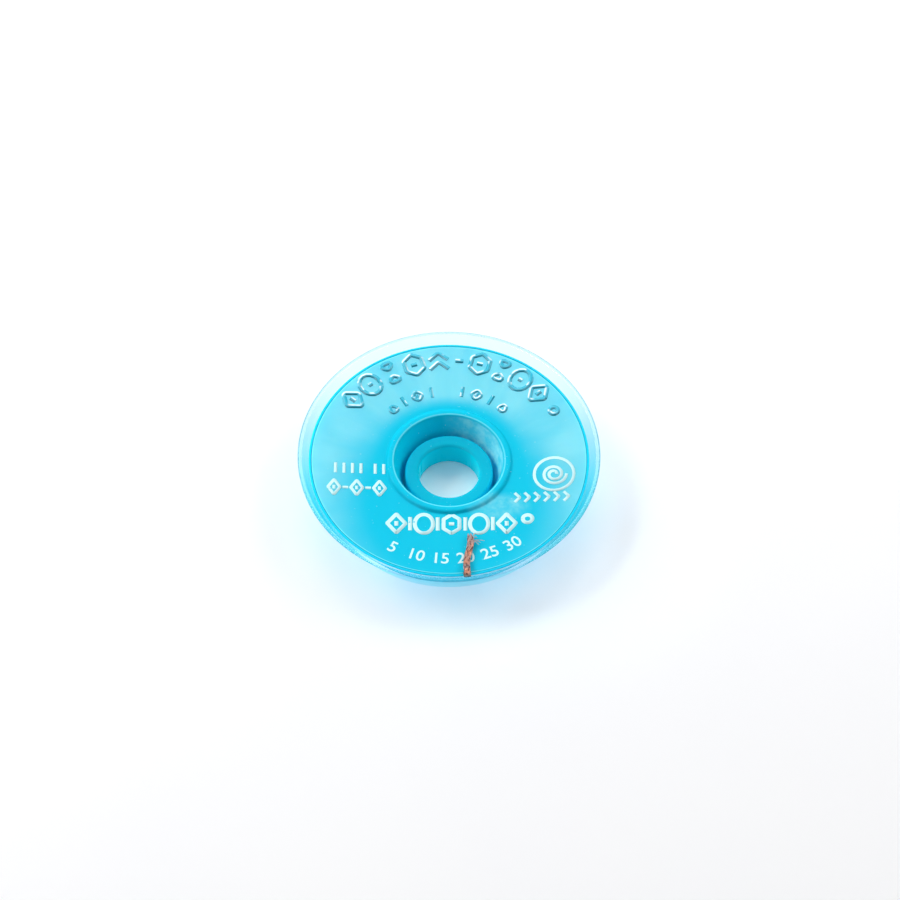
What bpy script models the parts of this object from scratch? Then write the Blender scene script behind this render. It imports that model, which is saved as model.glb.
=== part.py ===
"""A bobbin of desoldering braid: a flared dish and a snapped-in cover, both of clear
turquoise plastic, with a coil of flat copper braid between them.

Metres, +Z up. The axis of the bobbin is the Z axis and the dish stands on Z = 0.
The braid's free end comes out at the front, which is towards -Y.
"""

import math

import bmesh
import bpy
from mathutils import Matrix, Vector

# Gap that neighbouring pieces keep.
GAP = 0.0003

# Flared dish at the back, whose flat floor is what the bobbin rests on.
RIM_RADIUS = 0.0240
DISH_HEIGHT = 0.0090
DISH_WALL = 0.0007
WALL_LEAN = math.radians(28.5)
RIM_ROUNDING = 0.0002
BASE_ROUNDING = 0.0008

# Boss in the middle of the dish, with the hole that a peg goes through.
BORE_RADIUS = 0.0048
BORE_ROUNDING = 0.0006
BOSS_RADIUS = 0.0070
BOSS_TOP = 0.0043
BOSS_ROUNDING = 0.0004

# Cover, which falls a little towards its hub and has a rounded ring round its well.
COVER_DROP = 0.0012
COVER_FALL = 0.0008
COVER_WALL = 0.0010
COVER_ROUNDING = 0.0003
HUB_RADIUS = 0.0101
HUB_RISE = 0.0005
HUB_SLOPE = 0.0004
WELL_RADIUS = 0.00865
WELL_ROUNDING = 0.0005
SLEEVE_WALL = 0.0010
SLEEVE_ROUNDING = 0.0002

# Flat copper braid and the way it is wound.
BRAID_LENGTH = 1.5
BRAID_WIDTH = 0.0010
BRAID_THICKNESS = 0.00035
BRAID_CORNER = 0.0001
WINDING_FILL = 0.75
TURN_GROOVE = 0.00008

# Free end: round from the front, how far it still follows the coil, the height it
# leaves the coil at, and the fold that it makes above the edge of the cover.
TAIL_TURN = math.radians(7.5)
TAIL_WRAP = math.radians(16.0)
TAIL_RISE = 0.0010
FOLD_HEIGHT = 0.0008
FOLD_REACH = 0.0011

# Where the free end lies on the cover: distance in from the edge, drift to the right.
TAIL_LAY = (
    (0.0020, 0.0002),
    (0.0033, 0.0006),
    (0.0047, 0.0011),
    (0.0061, 0.0016),
    (0.0078, 0.0017),
)

# Fineness of the curved faces, and the share of a side that its roundings may take.
TURN_STEPS = 64
COIL_STEPS = 48
ROUNDING_STEPS = 3
TAIL_STATION = 0.0006
MOST_ROUNDED = 0.45

# The wall leans out, so a thickness square to it takes up more room level than that.
WALL_SLANT = 1 / math.cos(WALL_LEAN)
RIM_CORNER = RIM_RADIUS + RIM_ROUNDING * (math.tan(WALL_LEAN) + WALL_SLANT - 1)


def outside_wall(height):
    """Radius of the outer face of the dish's flared wall at a height."""
    return RIM_CORNER - (DISH_HEIGHT - height) * math.tan(WALL_LEAN)


def inside_wall(height, clearance=0.0):
    """Radius at a height, at a clearance square to the inner face of the dish's wall."""
    return outside_wall(height) - (DISH_WALL + clearance) * WALL_SLANT


# Heights and radii that follow from how the pieces fit each other.
EDGE_TOP = DISH_HEIGHT - COVER_DROP
COVER_RADIUS = inside_wall(EDGE_TOP, GAP)
HUB_FOOT = EDGE_TOP - COVER_FALL
HUB_TOP = HUB_FOOT + HUB_RISE
SLEEVE_FOOT = DISH_WALL + GAP
SLEEVE_BORE = BOSS_RADIUS + GAP
COIL_BOTTOM = DISH_WALL + GAP
COIL_TOP = HUB_FOOT - COVER_WALL - GAP


def cover_top(radius):
    """Height of the cover's upper face between its hub and its edge."""
    share = (radius - HUB_RADIUS) / (COVER_RADIUS - HUB_RADIUS)
    return HUB_FOOT + COVER_FALL * share


def sleeve_outside(height):
    """Outer radius of the cover's tapered sleeve, which the braid is wound round."""
    share = (height - SLEEVE_FOOT) / (HUB_TOP - SLEEVE_FOOT)
    return SLEEVE_BORE + (WELL_RADIUS - SLEEVE_BORE) * share + SLEEVE_WALL


def coil_radius():
    """Outer radius of the coil, from the length of braid that is wound on."""
    section = BRAID_WIDTH * BRAID_THICKNESS / WINDING_FILL
    inner = sleeve_outside((COIL_BOTTOM + COIL_TOP) / 2) + GAP
    wound = BRAID_LENGTH * section / (math.pi * (COIL_TOP - COIL_BOTTOM))
    return math.sqrt(inner**2 + wound)


COIL_RADIUS = coil_radius()


def clear_scene():
    """Removes whatever objects the scene holds."""
    for obj in list(bpy.data.objects):
        bpy.data.objects.remove(obj, do_unlink=True)


def new_collection(name, hidden=False):
    """A collection in the scene; a hidden one stays out of renders."""
    collection = bpy.data.collections.new(name)
    collection.hide_render = hidden
    bpy.context.scene.collection.children.link(collection)
    return collection


def plastic(name, color, transmission):
    """Clear, tinted moulding plastic."""
    material = bpy.data.materials.new(name)
    material.use_nodes = True
    shader = material.node_tree.nodes["Principled BSDF"]
    shader.inputs["Base Color"].default_value = (*color, 1.0)
    shader.inputs["Roughness"].default_value = 0.14
    shader.inputs["Metallic"].default_value = 0.0
    shader.inputs["IOR"].default_value = 1.57
    shader.inputs["Transmission Weight"].default_value = transmission
    material.diffuse_color = (*color, 1.0)
    return material


def copper(name):
    """Bare fluxed copper wire."""
    color = (0.62, 0.24, 0.13)
    material = bpy.data.materials.new(name)
    material.use_nodes = True
    shader = material.node_tree.nodes["Principled BSDF"]
    shader.inputs["Base Color"].default_value = (*color, 1.0)
    shader.inputs["Roughness"].default_value = 0.38
    shader.inputs["Metallic"].default_value = 1.0
    material.diffuse_color = (*color, 1.0)
    return material


def rounded(corners):
    """A closed outline through (radius, height, rounding) corners, as (radius, height)."""
    outline = []
    for index, (radius, height, rounding) in enumerate(corners):
        corner = Vector((radius, height))
        back = Vector(corners[index - 1][:2]) - corner
        ahead = Vector(corners[(index + 1) % len(corners)][:2]) - corner
        half = back.angle(ahead) / 2
        room = MOST_ROUNDED * min(back.length, ahead.length)
        reach = min(rounding / math.tan(half), room)
        if reach <= 0.0:
            outline.append(corner)
            continue
        start = corner + back.normalized() * reach
        end = corner + ahead.normalized() * reach
        middle = corner + (start + end - 2 * corner).normalized() * (reach / math.cos(half))
        outline += arc(middle, start, end)
    return outline


def arc(middle, start, end):
    """Points of the shorter arc about a middle, from start to end."""
    first = start - middle
    turn = first.angle_signed(end - middle)
    points = []
    for step in range(ROUNDING_STEPS + 1):
        turned = first.copy()
        turned.rotate(Matrix.Rotation(-turn * step / ROUNDING_STEPS, 2))
        points.append(middle + turned)
    return points


def turned(name, outline, steps, collection, material):
    """A closed outline, clockwise at +X, turned round the Z axis."""
    mesh = bpy.data.meshes.new(name)
    points = [(radius, 0.0, height) for radius, height in outline]
    edges = [(index, (index + 1) % len(points)) for index in range(len(points))]
    mesh.from_pydata(points, edges, [])
    mesh.materials.append(material)
    obj = bpy.data.objects.new(name, mesh)
    collection.objects.link(obj)
    screw = obj.modifiers.new("turn", "SCREW")
    screw.axis = "Z"
    screw.angle = math.tau
    screw.steps = steps
    screw.render_steps = steps
    screw.use_smooth_shade = True
    screw.use_merge_vertices = True
    screw.merge_threshold = 0.00001
    return obj


def back_shell(collection, material):
    """The flared dish with its boss and the hole through it."""
    corners = (
        (RIM_CORNER, DISH_HEIGHT, RIM_ROUNDING),
        (outside_wall(0.0), 0.0, BASE_ROUNDING),
        (BORE_RADIUS, 0.0, RIM_ROUNDING),
        (BORE_RADIUS, BOSS_TOP, BORE_ROUNDING),
        (BOSS_RADIUS, BOSS_TOP, BOSS_ROUNDING),
        (BOSS_RADIUS, DISH_WALL, 0.0),
        (inside_wall(DISH_WALL), DISH_WALL, BASE_ROUNDING),
        (inside_wall(DISH_HEIGHT), DISH_HEIGHT, RIM_ROUNDING),
    )
    return turned("back_shell", rounded(corners), TURN_STEPS, collection, material)


def thread_notch(collection):
    """Cutter for the notch that lets the braid out between the cover and the wall."""
    width = BRAID_WIDTH + 2 * GAP
    depth = BRAID_THICKNESS + 2 * GAP
    past = DISH_WALL / 2
    length = 3 * COVER_WALL
    height = EDGE_TOP - COVER_WALL / 2
    bm = bmesh.new()
    bmesh.ops.create_cube(bm, size=1.0)
    bmesh.ops.scale(bm, verts=bm.verts, vec=(width, depth + past, length))
    mesh = bpy.data.meshes.new("thread_notch")
    bm.to_mesh(mesh)
    bm.free()
    cutter = bpy.data.objects.new("thread_notch", mesh)
    collection.objects.link(cutter)
    middle = inside_wall(height, (depth - past) / 2)
    cutter.location = Matrix.Rotation(TAIL_TURN, 3, "Z") @ Vector((0.0, -middle, height))
    cutter.rotation_euler = (WALL_LEAN, 0.0, TAIL_TURN)
    cutter.hide_render = True
    cutter.display_type = "WIRE"
    return cutter


def cover_disc(collection, cutters, material):
    """The cover: disc, hub ring, well, and the sleeve that goes down round the boss."""
    underside = HUB_FOOT - COVER_WALL
    edge_foot = EDGE_TOP - COVER_WALL
    corners = (
        (COVER_RADIUS, EDGE_TOP, COVER_ROUNDING),
        (inside_wall(edge_foot, GAP), edge_foot, COVER_ROUNDING),
        (sleeve_outside(underside), underside, 0.0),
        (SLEEVE_BORE + SLEEVE_WALL, SLEEVE_FOOT, SLEEVE_ROUNDING),
        (SLEEVE_BORE, SLEEVE_FOOT, SLEEVE_ROUNDING),
        (WELL_RADIUS, HUB_TOP, WELL_ROUNDING),
        (HUB_RADIUS - HUB_SLOPE, HUB_TOP, WELL_ROUNDING),
        (HUB_RADIUS, HUB_FOOT, COVER_ROUNDING),
    )
    cover = turned("cover_disc", rounded(corners), TURN_STEPS, collection, material)
    notch = cover.modifiers.new("thread notch", "BOOLEAN")
    notch.operation = "DIFFERENCE"
    notch.solver = "EXACT"
    notch.object = thread_notch(cutters)
    return cover


def ridges(start, end, sunk, count):
    """Points from start towards end, that dip by sunk between count equal turns."""
    points = []
    for index in range(count):
        for share, dip in ((0.0, 1.0), (0.3, 0.0), (0.7, 0.0)):
            points.append(start.lerp(end, (index + share) / count) + sunk * dip)
    return points


def braid_coil(collection, material):
    """The wound braid: one turned ring, whose rows and layers show on its faces."""
    across = COIL_RADIUS - sleeve_outside(COIL_TOP) - GAP
    rows = max(1, round((COIL_TOP - COIL_BOTTOM) / BRAID_WIDTH))
    layers = max(1, round(across * WINDING_FILL / BRAID_THICKNESS))
    top_inside = Vector((sleeve_outside(COIL_TOP) + GAP, COIL_TOP))
    foot_inside = Vector((sleeve_outside(COIL_BOTTOM) + GAP, COIL_BOTTOM))
    top_outside = Vector((COIL_RADIUS, COIL_TOP))
    foot_outside = Vector((COIL_RADIUS, COIL_BOTTOM))
    outline = ridges(top_outside, foot_outside, Vector((-TURN_GROOVE, -TURN_GROOVE)), rows)
    outline += ridges(foot_outside, foot_inside, Vector((-TURN_GROOVE, TURN_GROOVE)), layers)
    outline += [foot_inside + Vector((TURN_GROOVE, TURN_GROOVE))]
    outline += ridges(top_inside, top_outside, Vector((TURN_GROOVE, -TURN_GROOVE)), layers)
    return turned("braid_coil", outline, COIL_STEPS, collection, material)


def tail_route():
    """Points of the free end's centre line and the way that its outer face looks there.

    Both are (sideways, inwards, up), so that -Y is outwards at the notch.
    """
    near = GAP + BRAID_THICKNESS / 2
    coil_line = COIL_RADIUS + near
    mouth = EDGE_TOP - 2 * COVER_WALL
    gap_line = inside_wall(mouth, near)
    leave = math.acos(coil_line / gap_line)
    height = (COIL_BOTTOM + COIL_TOP) / 2
    wall_face = Vector((0.0, -math.cos(WALL_LEAN), -math.sin(WALL_LEAN)))
    upwards = Vector((0.0, 0.0, 1.0))

    route = []
    for share in (1.0, 0.5, 0.0):
        turn = leave + TAIL_WRAP * share
        face = Vector((-math.sin(turn), -math.cos(turn), 0.0))
        route.append((face * coil_line + upwards * height, face))
    touch, coil_face = route[-1]
    near_wall = Vector((0.0, -gap_line, height + TAIL_RISE))
    for share in (0.35, 0.7):
        route.append((touch.lerp(near_wall, share), coil_face.lerp(wall_face, share)))
    for level in (mouth, EDGE_TOP - COVER_WALL, EDGE_TOP):
        route.append((Vector((0.0, -inside_wall(level, near), level)), wall_face))
    route += fold_over(near, wall_face, upwards)
    for inwards, sideways in TAIL_LAY:
        radius = COVER_RADIUS - inwards
        route.append((Vector((sideways, -radius, cover_top(radius) + near)), upwards))
    return route


def fold_over(near, wall_face, upwards):
    """The free end's fold, from the gap up and back over the edge of the cover."""
    crest = EDGE_TOP + FOLD_HEIGHT
    outer = inside_wall(EDGE_TOP, near)
    middle = outer - FOLD_REACH / 2
    outwards = Vector((0.0, -1.0, 0.0))
    return [
        (Vector((0.0, -outer, EDGE_TOP + FOLD_HEIGHT / 2)), wall_face.lerp(outwards, 0.5)),
        (Vector((0.0, -middle, crest)), upwards),
        (Vector((0.0, FOLD_REACH - outer, crest - FOLD_HEIGHT / 5)), upwards),
    ]


def smooth_route(route):
    """Stations a short way apart on the smooth curve through the route's points."""
    ends = [route[0]] + route + [route[-1]]
    stations = []
    for index in range(1, len(ends) - 2):
        around = [ends[index + offset][0] for offset in (-1, 0, 1, 2)]
        first_face, last_face = ends[index][1], ends[index + 1][1]
        steps = max(1, round((around[2] - around[1]).length / TAIL_STATION))
        for step in range(steps):
            share = step / steps
            stations.append((through(around, share), first_face.lerp(last_face, share)))
    return stations + [route[-1]]


def through(around, share):
    """Point a share of the way from the second to the third of four points."""
    before, start, end, after = around
    leaving = (end - before) / 2
    coming = (after - start) / 2
    square, cube = share**2, share**3
    return (
        start * (2 * cube - 3 * square + 1)
        + leaving * (cube - 2 * square + share)
        + end * (3 * square - 2 * cube)
        + coming * (cube - square)
    )


def strip_section():
    """Corners of the braid's flat section, as (across, outwards)."""
    wide, deep, cut = BRAID_WIDTH / 2, BRAID_THICKNESS / 2, BRAID_CORNER
    half = [(wide, cut - deep), (wide, deep - cut), (wide - cut, deep), (cut - wide, deep)]
    return half + [(-across, -outwards) for across, outwards in half]


def braid_tail(collection, material):
    """The braid's free end, a flat strip that turns from the coil into the gap."""
    stations = smooth_route(tail_route())
    bm = bmesh.new()
    loops = []
    for index, (point, face) in enumerate(stations):
        ahead = stations[min(index + 1, len(stations) - 1)][0]
        behind = stations[max(index - 1, 0)][0]
        along = (ahead - behind).normalized()
        outwards = (face - along * face.dot(along)).normalized()
        across = along.cross(outwards)
        loops.append([bm.verts.new(point + across * x + outwards * y) for x, y in strip_section()])
    for first, second in zip(loops, loops[1:]):
        for index in range(len(first)):
            following = (index + 1) % len(first)
            bm.faces.new((first[index], first[following], second[following], second[index]))
    bm.faces.new(loops[0])
    bm.faces.new(loops[-1])
    bmesh.ops.recalc_face_normals(bm, faces=bm.faces)
    mesh = bpy.data.meshes.new("braid_tail")
    bm.to_mesh(mesh)
    bm.free()
    mesh.materials.append(material)
    mesh.shade_smooth()
    mesh.set_sharp_from_angle(angle=math.radians(50.0))
    tail = bpy.data.objects.new("braid_tail", mesh)
    tail.rotation_euler.z = TAIL_TURN
    collection.objects.link(tail)
    return tail


def main():
    """Builds the bobbin's four pieces."""
    clear_scene()
    pieces = new_collection("desoldering_braid")
    cutters = new_collection("cutters", hidden=True)
    shell_plastic = plastic("clear_turquoise", (0.45, 0.88, 0.95), 0.85)
    cover_plastic = plastic("turquoise", (0.02, 0.60, 0.78), 0.45)
    braid_copper = copper("braid_copper")
    back_shell(pieces, shell_plastic)
    cover_disc(pieces, cutters, cover_plastic)
    braid_coil(pieces, braid_copper)
    braid_tail(pieces, braid_copper)


main()
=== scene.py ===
"""Looks of a bobbin of desoldering braid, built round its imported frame.

A pale clear dish, a turquoise cover with raised and printed marks, the braid wound between
them, and the braid's free end, which comes up at the front and lies on the cover.
Metres, +Z up, with the bobbin's axis on Z and its front towards -Y.
"""

import logging
import math
from collections.abc import Mapping, Sequence
from dataclasses import dataclass, field
from enum import Enum
from functools import cached_property

import bmesh
import bpy
from mathutils import Matrix, Vector


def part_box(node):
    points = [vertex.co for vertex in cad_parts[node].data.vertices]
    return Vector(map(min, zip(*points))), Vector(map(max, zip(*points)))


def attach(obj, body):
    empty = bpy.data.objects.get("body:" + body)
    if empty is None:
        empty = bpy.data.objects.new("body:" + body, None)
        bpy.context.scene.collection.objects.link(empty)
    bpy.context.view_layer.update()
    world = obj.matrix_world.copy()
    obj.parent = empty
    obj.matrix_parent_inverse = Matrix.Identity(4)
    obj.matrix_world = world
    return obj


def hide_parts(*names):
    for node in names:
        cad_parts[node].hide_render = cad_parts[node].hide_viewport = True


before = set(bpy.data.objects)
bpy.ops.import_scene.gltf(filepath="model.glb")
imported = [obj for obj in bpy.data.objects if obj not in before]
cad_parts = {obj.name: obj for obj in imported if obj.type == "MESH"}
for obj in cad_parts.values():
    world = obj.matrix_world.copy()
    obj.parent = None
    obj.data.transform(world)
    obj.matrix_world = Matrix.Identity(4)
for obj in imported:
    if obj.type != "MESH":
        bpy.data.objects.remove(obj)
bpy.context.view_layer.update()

LOG = logging.getLogger("bobbin")
BODY = "root"
MM = 0.001
Point = tuple[float, float]
Color = tuple[float, float, float]
Socket = bpy.types.NodeSocket
Node = bpy.types.Node
Tree = bpy.types.NodeTree
Object = bpy.types.Object
Mesh = bpy.types.Mesh
Material = bpy.types.Material


class Graph:
    """Short forms for adding nodes to a shader or geometry tree and wiring them."""

    def __init__(self, tree: Tree) -> None:
        """Starts on a tree.

        Args:
            tree: The tree that the nodes go into.
        """
        self.tree = tree

    def node(
        self, kind: str, inputs: Mapping[str | int, object] | None = None, **settings: object
    ) -> Node:
        """Adds a node.

        Args:
            kind: The node's type name.
            inputs: What goes into its inputs, by name or number: a socket or a plain value.
            **settings: The node's own properties.

        Returns:
            The new node.
        """
        node = self.tree.nodes.new(kind)
        for name, value in settings.items():
            setattr(node, name, value)
        self.fill(node, inputs or {})
        return node

    def out(
        self, kind: str, inputs: Mapping[str | int, object] | None = None, **settings: object
    ) -> Socket:
        """Adds a node in the same way, and gives its first output."""
        return self.node(kind, inputs, **settings).outputs[0]

    def fill(self, node: Node, inputs: Mapping[str | int, object]) -> None:
        """Feeds several inputs of a node, by name or number."""
        for name, value in inputs.items():
            self.feed(node, name, value)

    def feed(self, node: Node, name: str | int, value: object) -> None:
        """Wires a socket into an input, or sets the input's plain value.

        Args:
            node: The node that takes it.
            name: The input's name or number.
            value: A socket or a plain value.
        """
        for index, socket in enumerate(node.inputs):
            if name in (socket.name, index) and not socket.is_unavailable:
                if isinstance(value, Socket):
                    self.tree.links.new(value, socket)
                else:
                    socket.default_value = value
                return
        raise KeyError(f"{node.bl_idname} has no input {name}")

    def math(self, operation: str, *values: object) -> Socket:
        """Adds a Math node's sum of one to three plain numbers."""
        return self.out("ShaderNodeMath", dict(enumerate(values)), operation=operation)

    def vector(self, operation: str, *values: object) -> Socket:
        """Adds a sum on vectors.

        Args:
            operation: The Vector Math node's operation.
            *values: Its inputs, where Scale takes a number as its second.

        Returns:
            The result's socket.
        """
        inputs: dict[str | int, object] = dict(enumerate(values))
        if operation == "SCALE":
            inputs = {0: values[0], "Scale": values[1]}
        node = self.node("ShaderNodeVectorMath", inputs, operation=operation)
        return node.outputs["Value" if operation in ("LENGTH", "DOT_PRODUCT") else "Vector"]

    def times(self, first: object, second: object) -> Socket:
        """Adds a product of two numbers."""
        return self.math("MULTIPLY", first, second)

    def ratio(self, first: object, second: object) -> Socket:
        """Adds the first number over the second."""
        return self.math("DIVIDE", first, second)

    def plus(self, first: object, second: object) -> Socket:
        """Adds a sum of two numbers."""
        return self.math("ADD", first, second)

    def minus(self, first: object, second: object) -> Socket:
        """Adds the first number less the second."""
        return self.math("SUBTRACT", first, second)

    def scaled(self, value: object, factor: object, more: object) -> Socket:
        """Adds a number times a factor, and more."""
        return self.math("MULTIPLY_ADD", value, factor, more)

    def xyz(self, x: object = 0.0, y: object = 0.0, z: object = 0.0) -> Socket:
        """Adds a vector of three numbers."""
        return self.out("ShaderNodeCombineXYZ", {0: x, 1: y, 2: z})

    def split(self, vector: object) -> tuple[Socket, ...]:
        """Adds the three numbers of a vector."""
        return tuple(self.node("ShaderNodeSeparateXYZ", {0: vector}).outputs)

    def place(self) -> Socket:
        """Adds the shaded point in the object's own coordinates."""
        return self.node("ShaderNodeTexCoord").outputs["Object"]

    def attribute(self, name: str, output: str = "Fac") -> Socket:
        """Adds an attribute of the mesh, read as a number or as a vector."""
        return self.node("ShaderNodeAttribute", attribute_name=name).outputs[output]

    def group(
        self, tree: Tree, inputs: Mapping[str | int, object] | None = None
    ) -> Mapping[str, Socket]:
        """Adds a shader group and gives its outputs by name."""
        return self.node("ShaderNodeGroup", inputs, node_tree=tree).outputs

    def shifted(self, point: object, way: object, distance: object) -> Socket:
        """Adds a point moved a distance along a way."""
        return self.vector("ADD", point, self.vector("SCALE", way, distance))

    def remap(
        self,
        value: object,
        start: object,
        end: object,
        low: object = 0.0,
        high: object = 1.0,
        form: str = "SMOOTHSTEP",
    ) -> Socket:
        """Adds a step from low to high as value goes from start to end.

        Args:
            value: The number that is read.
            start: Where the step starts.
            end: Where the step ends.
            low: The result before it.
            high: The result after it.
            form: The step's form.

        Returns:
            The result's socket.
        """
        names = ("Value", "From Min", "From Max", "To Min", "To Max")
        inputs = dict(zip(names, (value, start, end, low, high)))
        return self.out("ShaderNodeMapRange", inputs, interpolation_type=form)

    def mix(self, share: object, first: object, second: object) -> Socket:
        """Adds a mix of two colours, with a share of the second."""
        inputs = {"Factor": share, "A": first, "B": second}
        return self.node("ShaderNodeMix", inputs, data_type="RGBA").outputs[2]

    def noise(self, place: object, scale: object, detail: float = 3.0) -> Socket:
        """Adds a noise texture with so many lumps to a unit of place."""
        inputs = {"Vector": place, "Scale": scale, "Detail": detail}
        return self.node("ShaderNodeTexNoise", inputs).outputs["Fac"]

    def moved(self, shape: object, place: object) -> Socket:
        """Adds a step that puts a shape's points in their places."""
        return self.out("GeometryNodeSetPosition", {"Geometry": shape, "Position": place})

    def line(self, samples: object) -> Socket:
        """Adds a straight line of points, to be bent."""
        line = self.out("GeometryNodeCurvePrimitiveLine")
        return self.out("GeometryNodeResampleCurve", {"Curve": line, "Count": samples}, mode="COUNT")

    def rounded(self, curve: object, count: int, radius: object) -> Socket:
        """Adds a step that rounds a curve's corners."""
        inputs = {"Curve": curve, "Count": count, "Radius": radius, "Limit Radius": True}
        return self.out("GeometryNodeFilletCurve", inputs, mode="POLY")

    def noted(self, shape: object, name: str, value: object) -> Socket:
        """Adds a step that stores a number at each point of a shape."""
        inputs = {"Geometry": shape, "Name": name, "Value": value}
        return self.out("GeometryNodeStoreNamedAttribute", inputs, domain="POINT")

    def ring(self, sides: int, radius: object) -> Socket:
        """Adds a round section."""
        inputs = {"Resolution": sides, "Radius": radius}
        return self.out("GeometryNodeCurvePrimitiveCircle", inputs, mode="RADIUS")

    def swept(self, curve: object, section: object) -> Socket:
        """Adds a section swept along curves, with closed ends."""
        inputs = {"Curve": curve, "Profile Curve": section, "Fill Caps": True}
        return self.out("GeometryNodeCurveToMesh", inputs)

    def end(self, result: Node, shape: object, material: object) -> None:
        """Ends a geometry tree with its instances realized and its material set.

        Args:
            result: The tree's output node.
            shape: What the tree has made.
            material: The shape's material.
        """
        whole = self.out("GeometryNodeRealizeInstances", {0: shape})
        inputs = {"Geometry": whole, "Material": material}
        self.feed(result, "Geometry", self.out("GeometryNodeSetMaterial", inputs))


def rgba(color: Color) -> tuple[float, float, float, float]:
    """A colour with full alpha."""
    return (*color, 1.0)


def new_group(
    kind: str, name: str, inputs: Mapping[str, object], outputs: Mapping[str, str]
) -> tuple[Graph, Node, Node]:
    """Starts a node group with named sockets.

    Args:
        kind: The kind of tree.
        name: The group's name.
        inputs: Each input's default, or its socket kind where it has none, by name.
        outputs: Each output's socket kind, by name.

    Returns:
        The group's graph, its input node and its output node.
    """
    kinds = {bool: "Bool", int: "Int", float: "Float", tuple: "Color"}
    tree = bpy.data.node_groups.new(name, kind)
    for title, default in inputs.items():
        has_default = not isinstance(default, str)
        form = "NodeSocket" + (kinds[type(default)] if has_default else default)
        socket = tree.interface.new_socket(name=title, in_out="INPUT", socket_type=form)
        if has_default:
            socket.default_value = default
    for title, form in outputs.items():
        tree.interface.new_socket(name=title, in_out="OUTPUT", socket_type="NodeSocket" + form)
    graph = Graph(tree)
    return graph, graph.node("NodeGroupInput"), graph.node("NodeGroupOutput")


def new_grower(
    name: str, sizes: Mapping[str, object]
) -> tuple[Graph, Mapping[str, Socket], Node]:
    """Starts a geometry tree that takes a shape, sizes and a material, and gives a shape.

    Args:
        name: The tree's name.
        sizes: Each size's default, by name.

    Returns:
        The tree's graph, its inputs by name and its output node.
    """
    inputs = {"Geometry": "Geometry", **sizes, "Material": "Material"}
    graph, given, result = new_group("GeometryNodeTree", name, inputs, {"Geometry": "Geometry"})
    return graph, given.outputs, result


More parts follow.
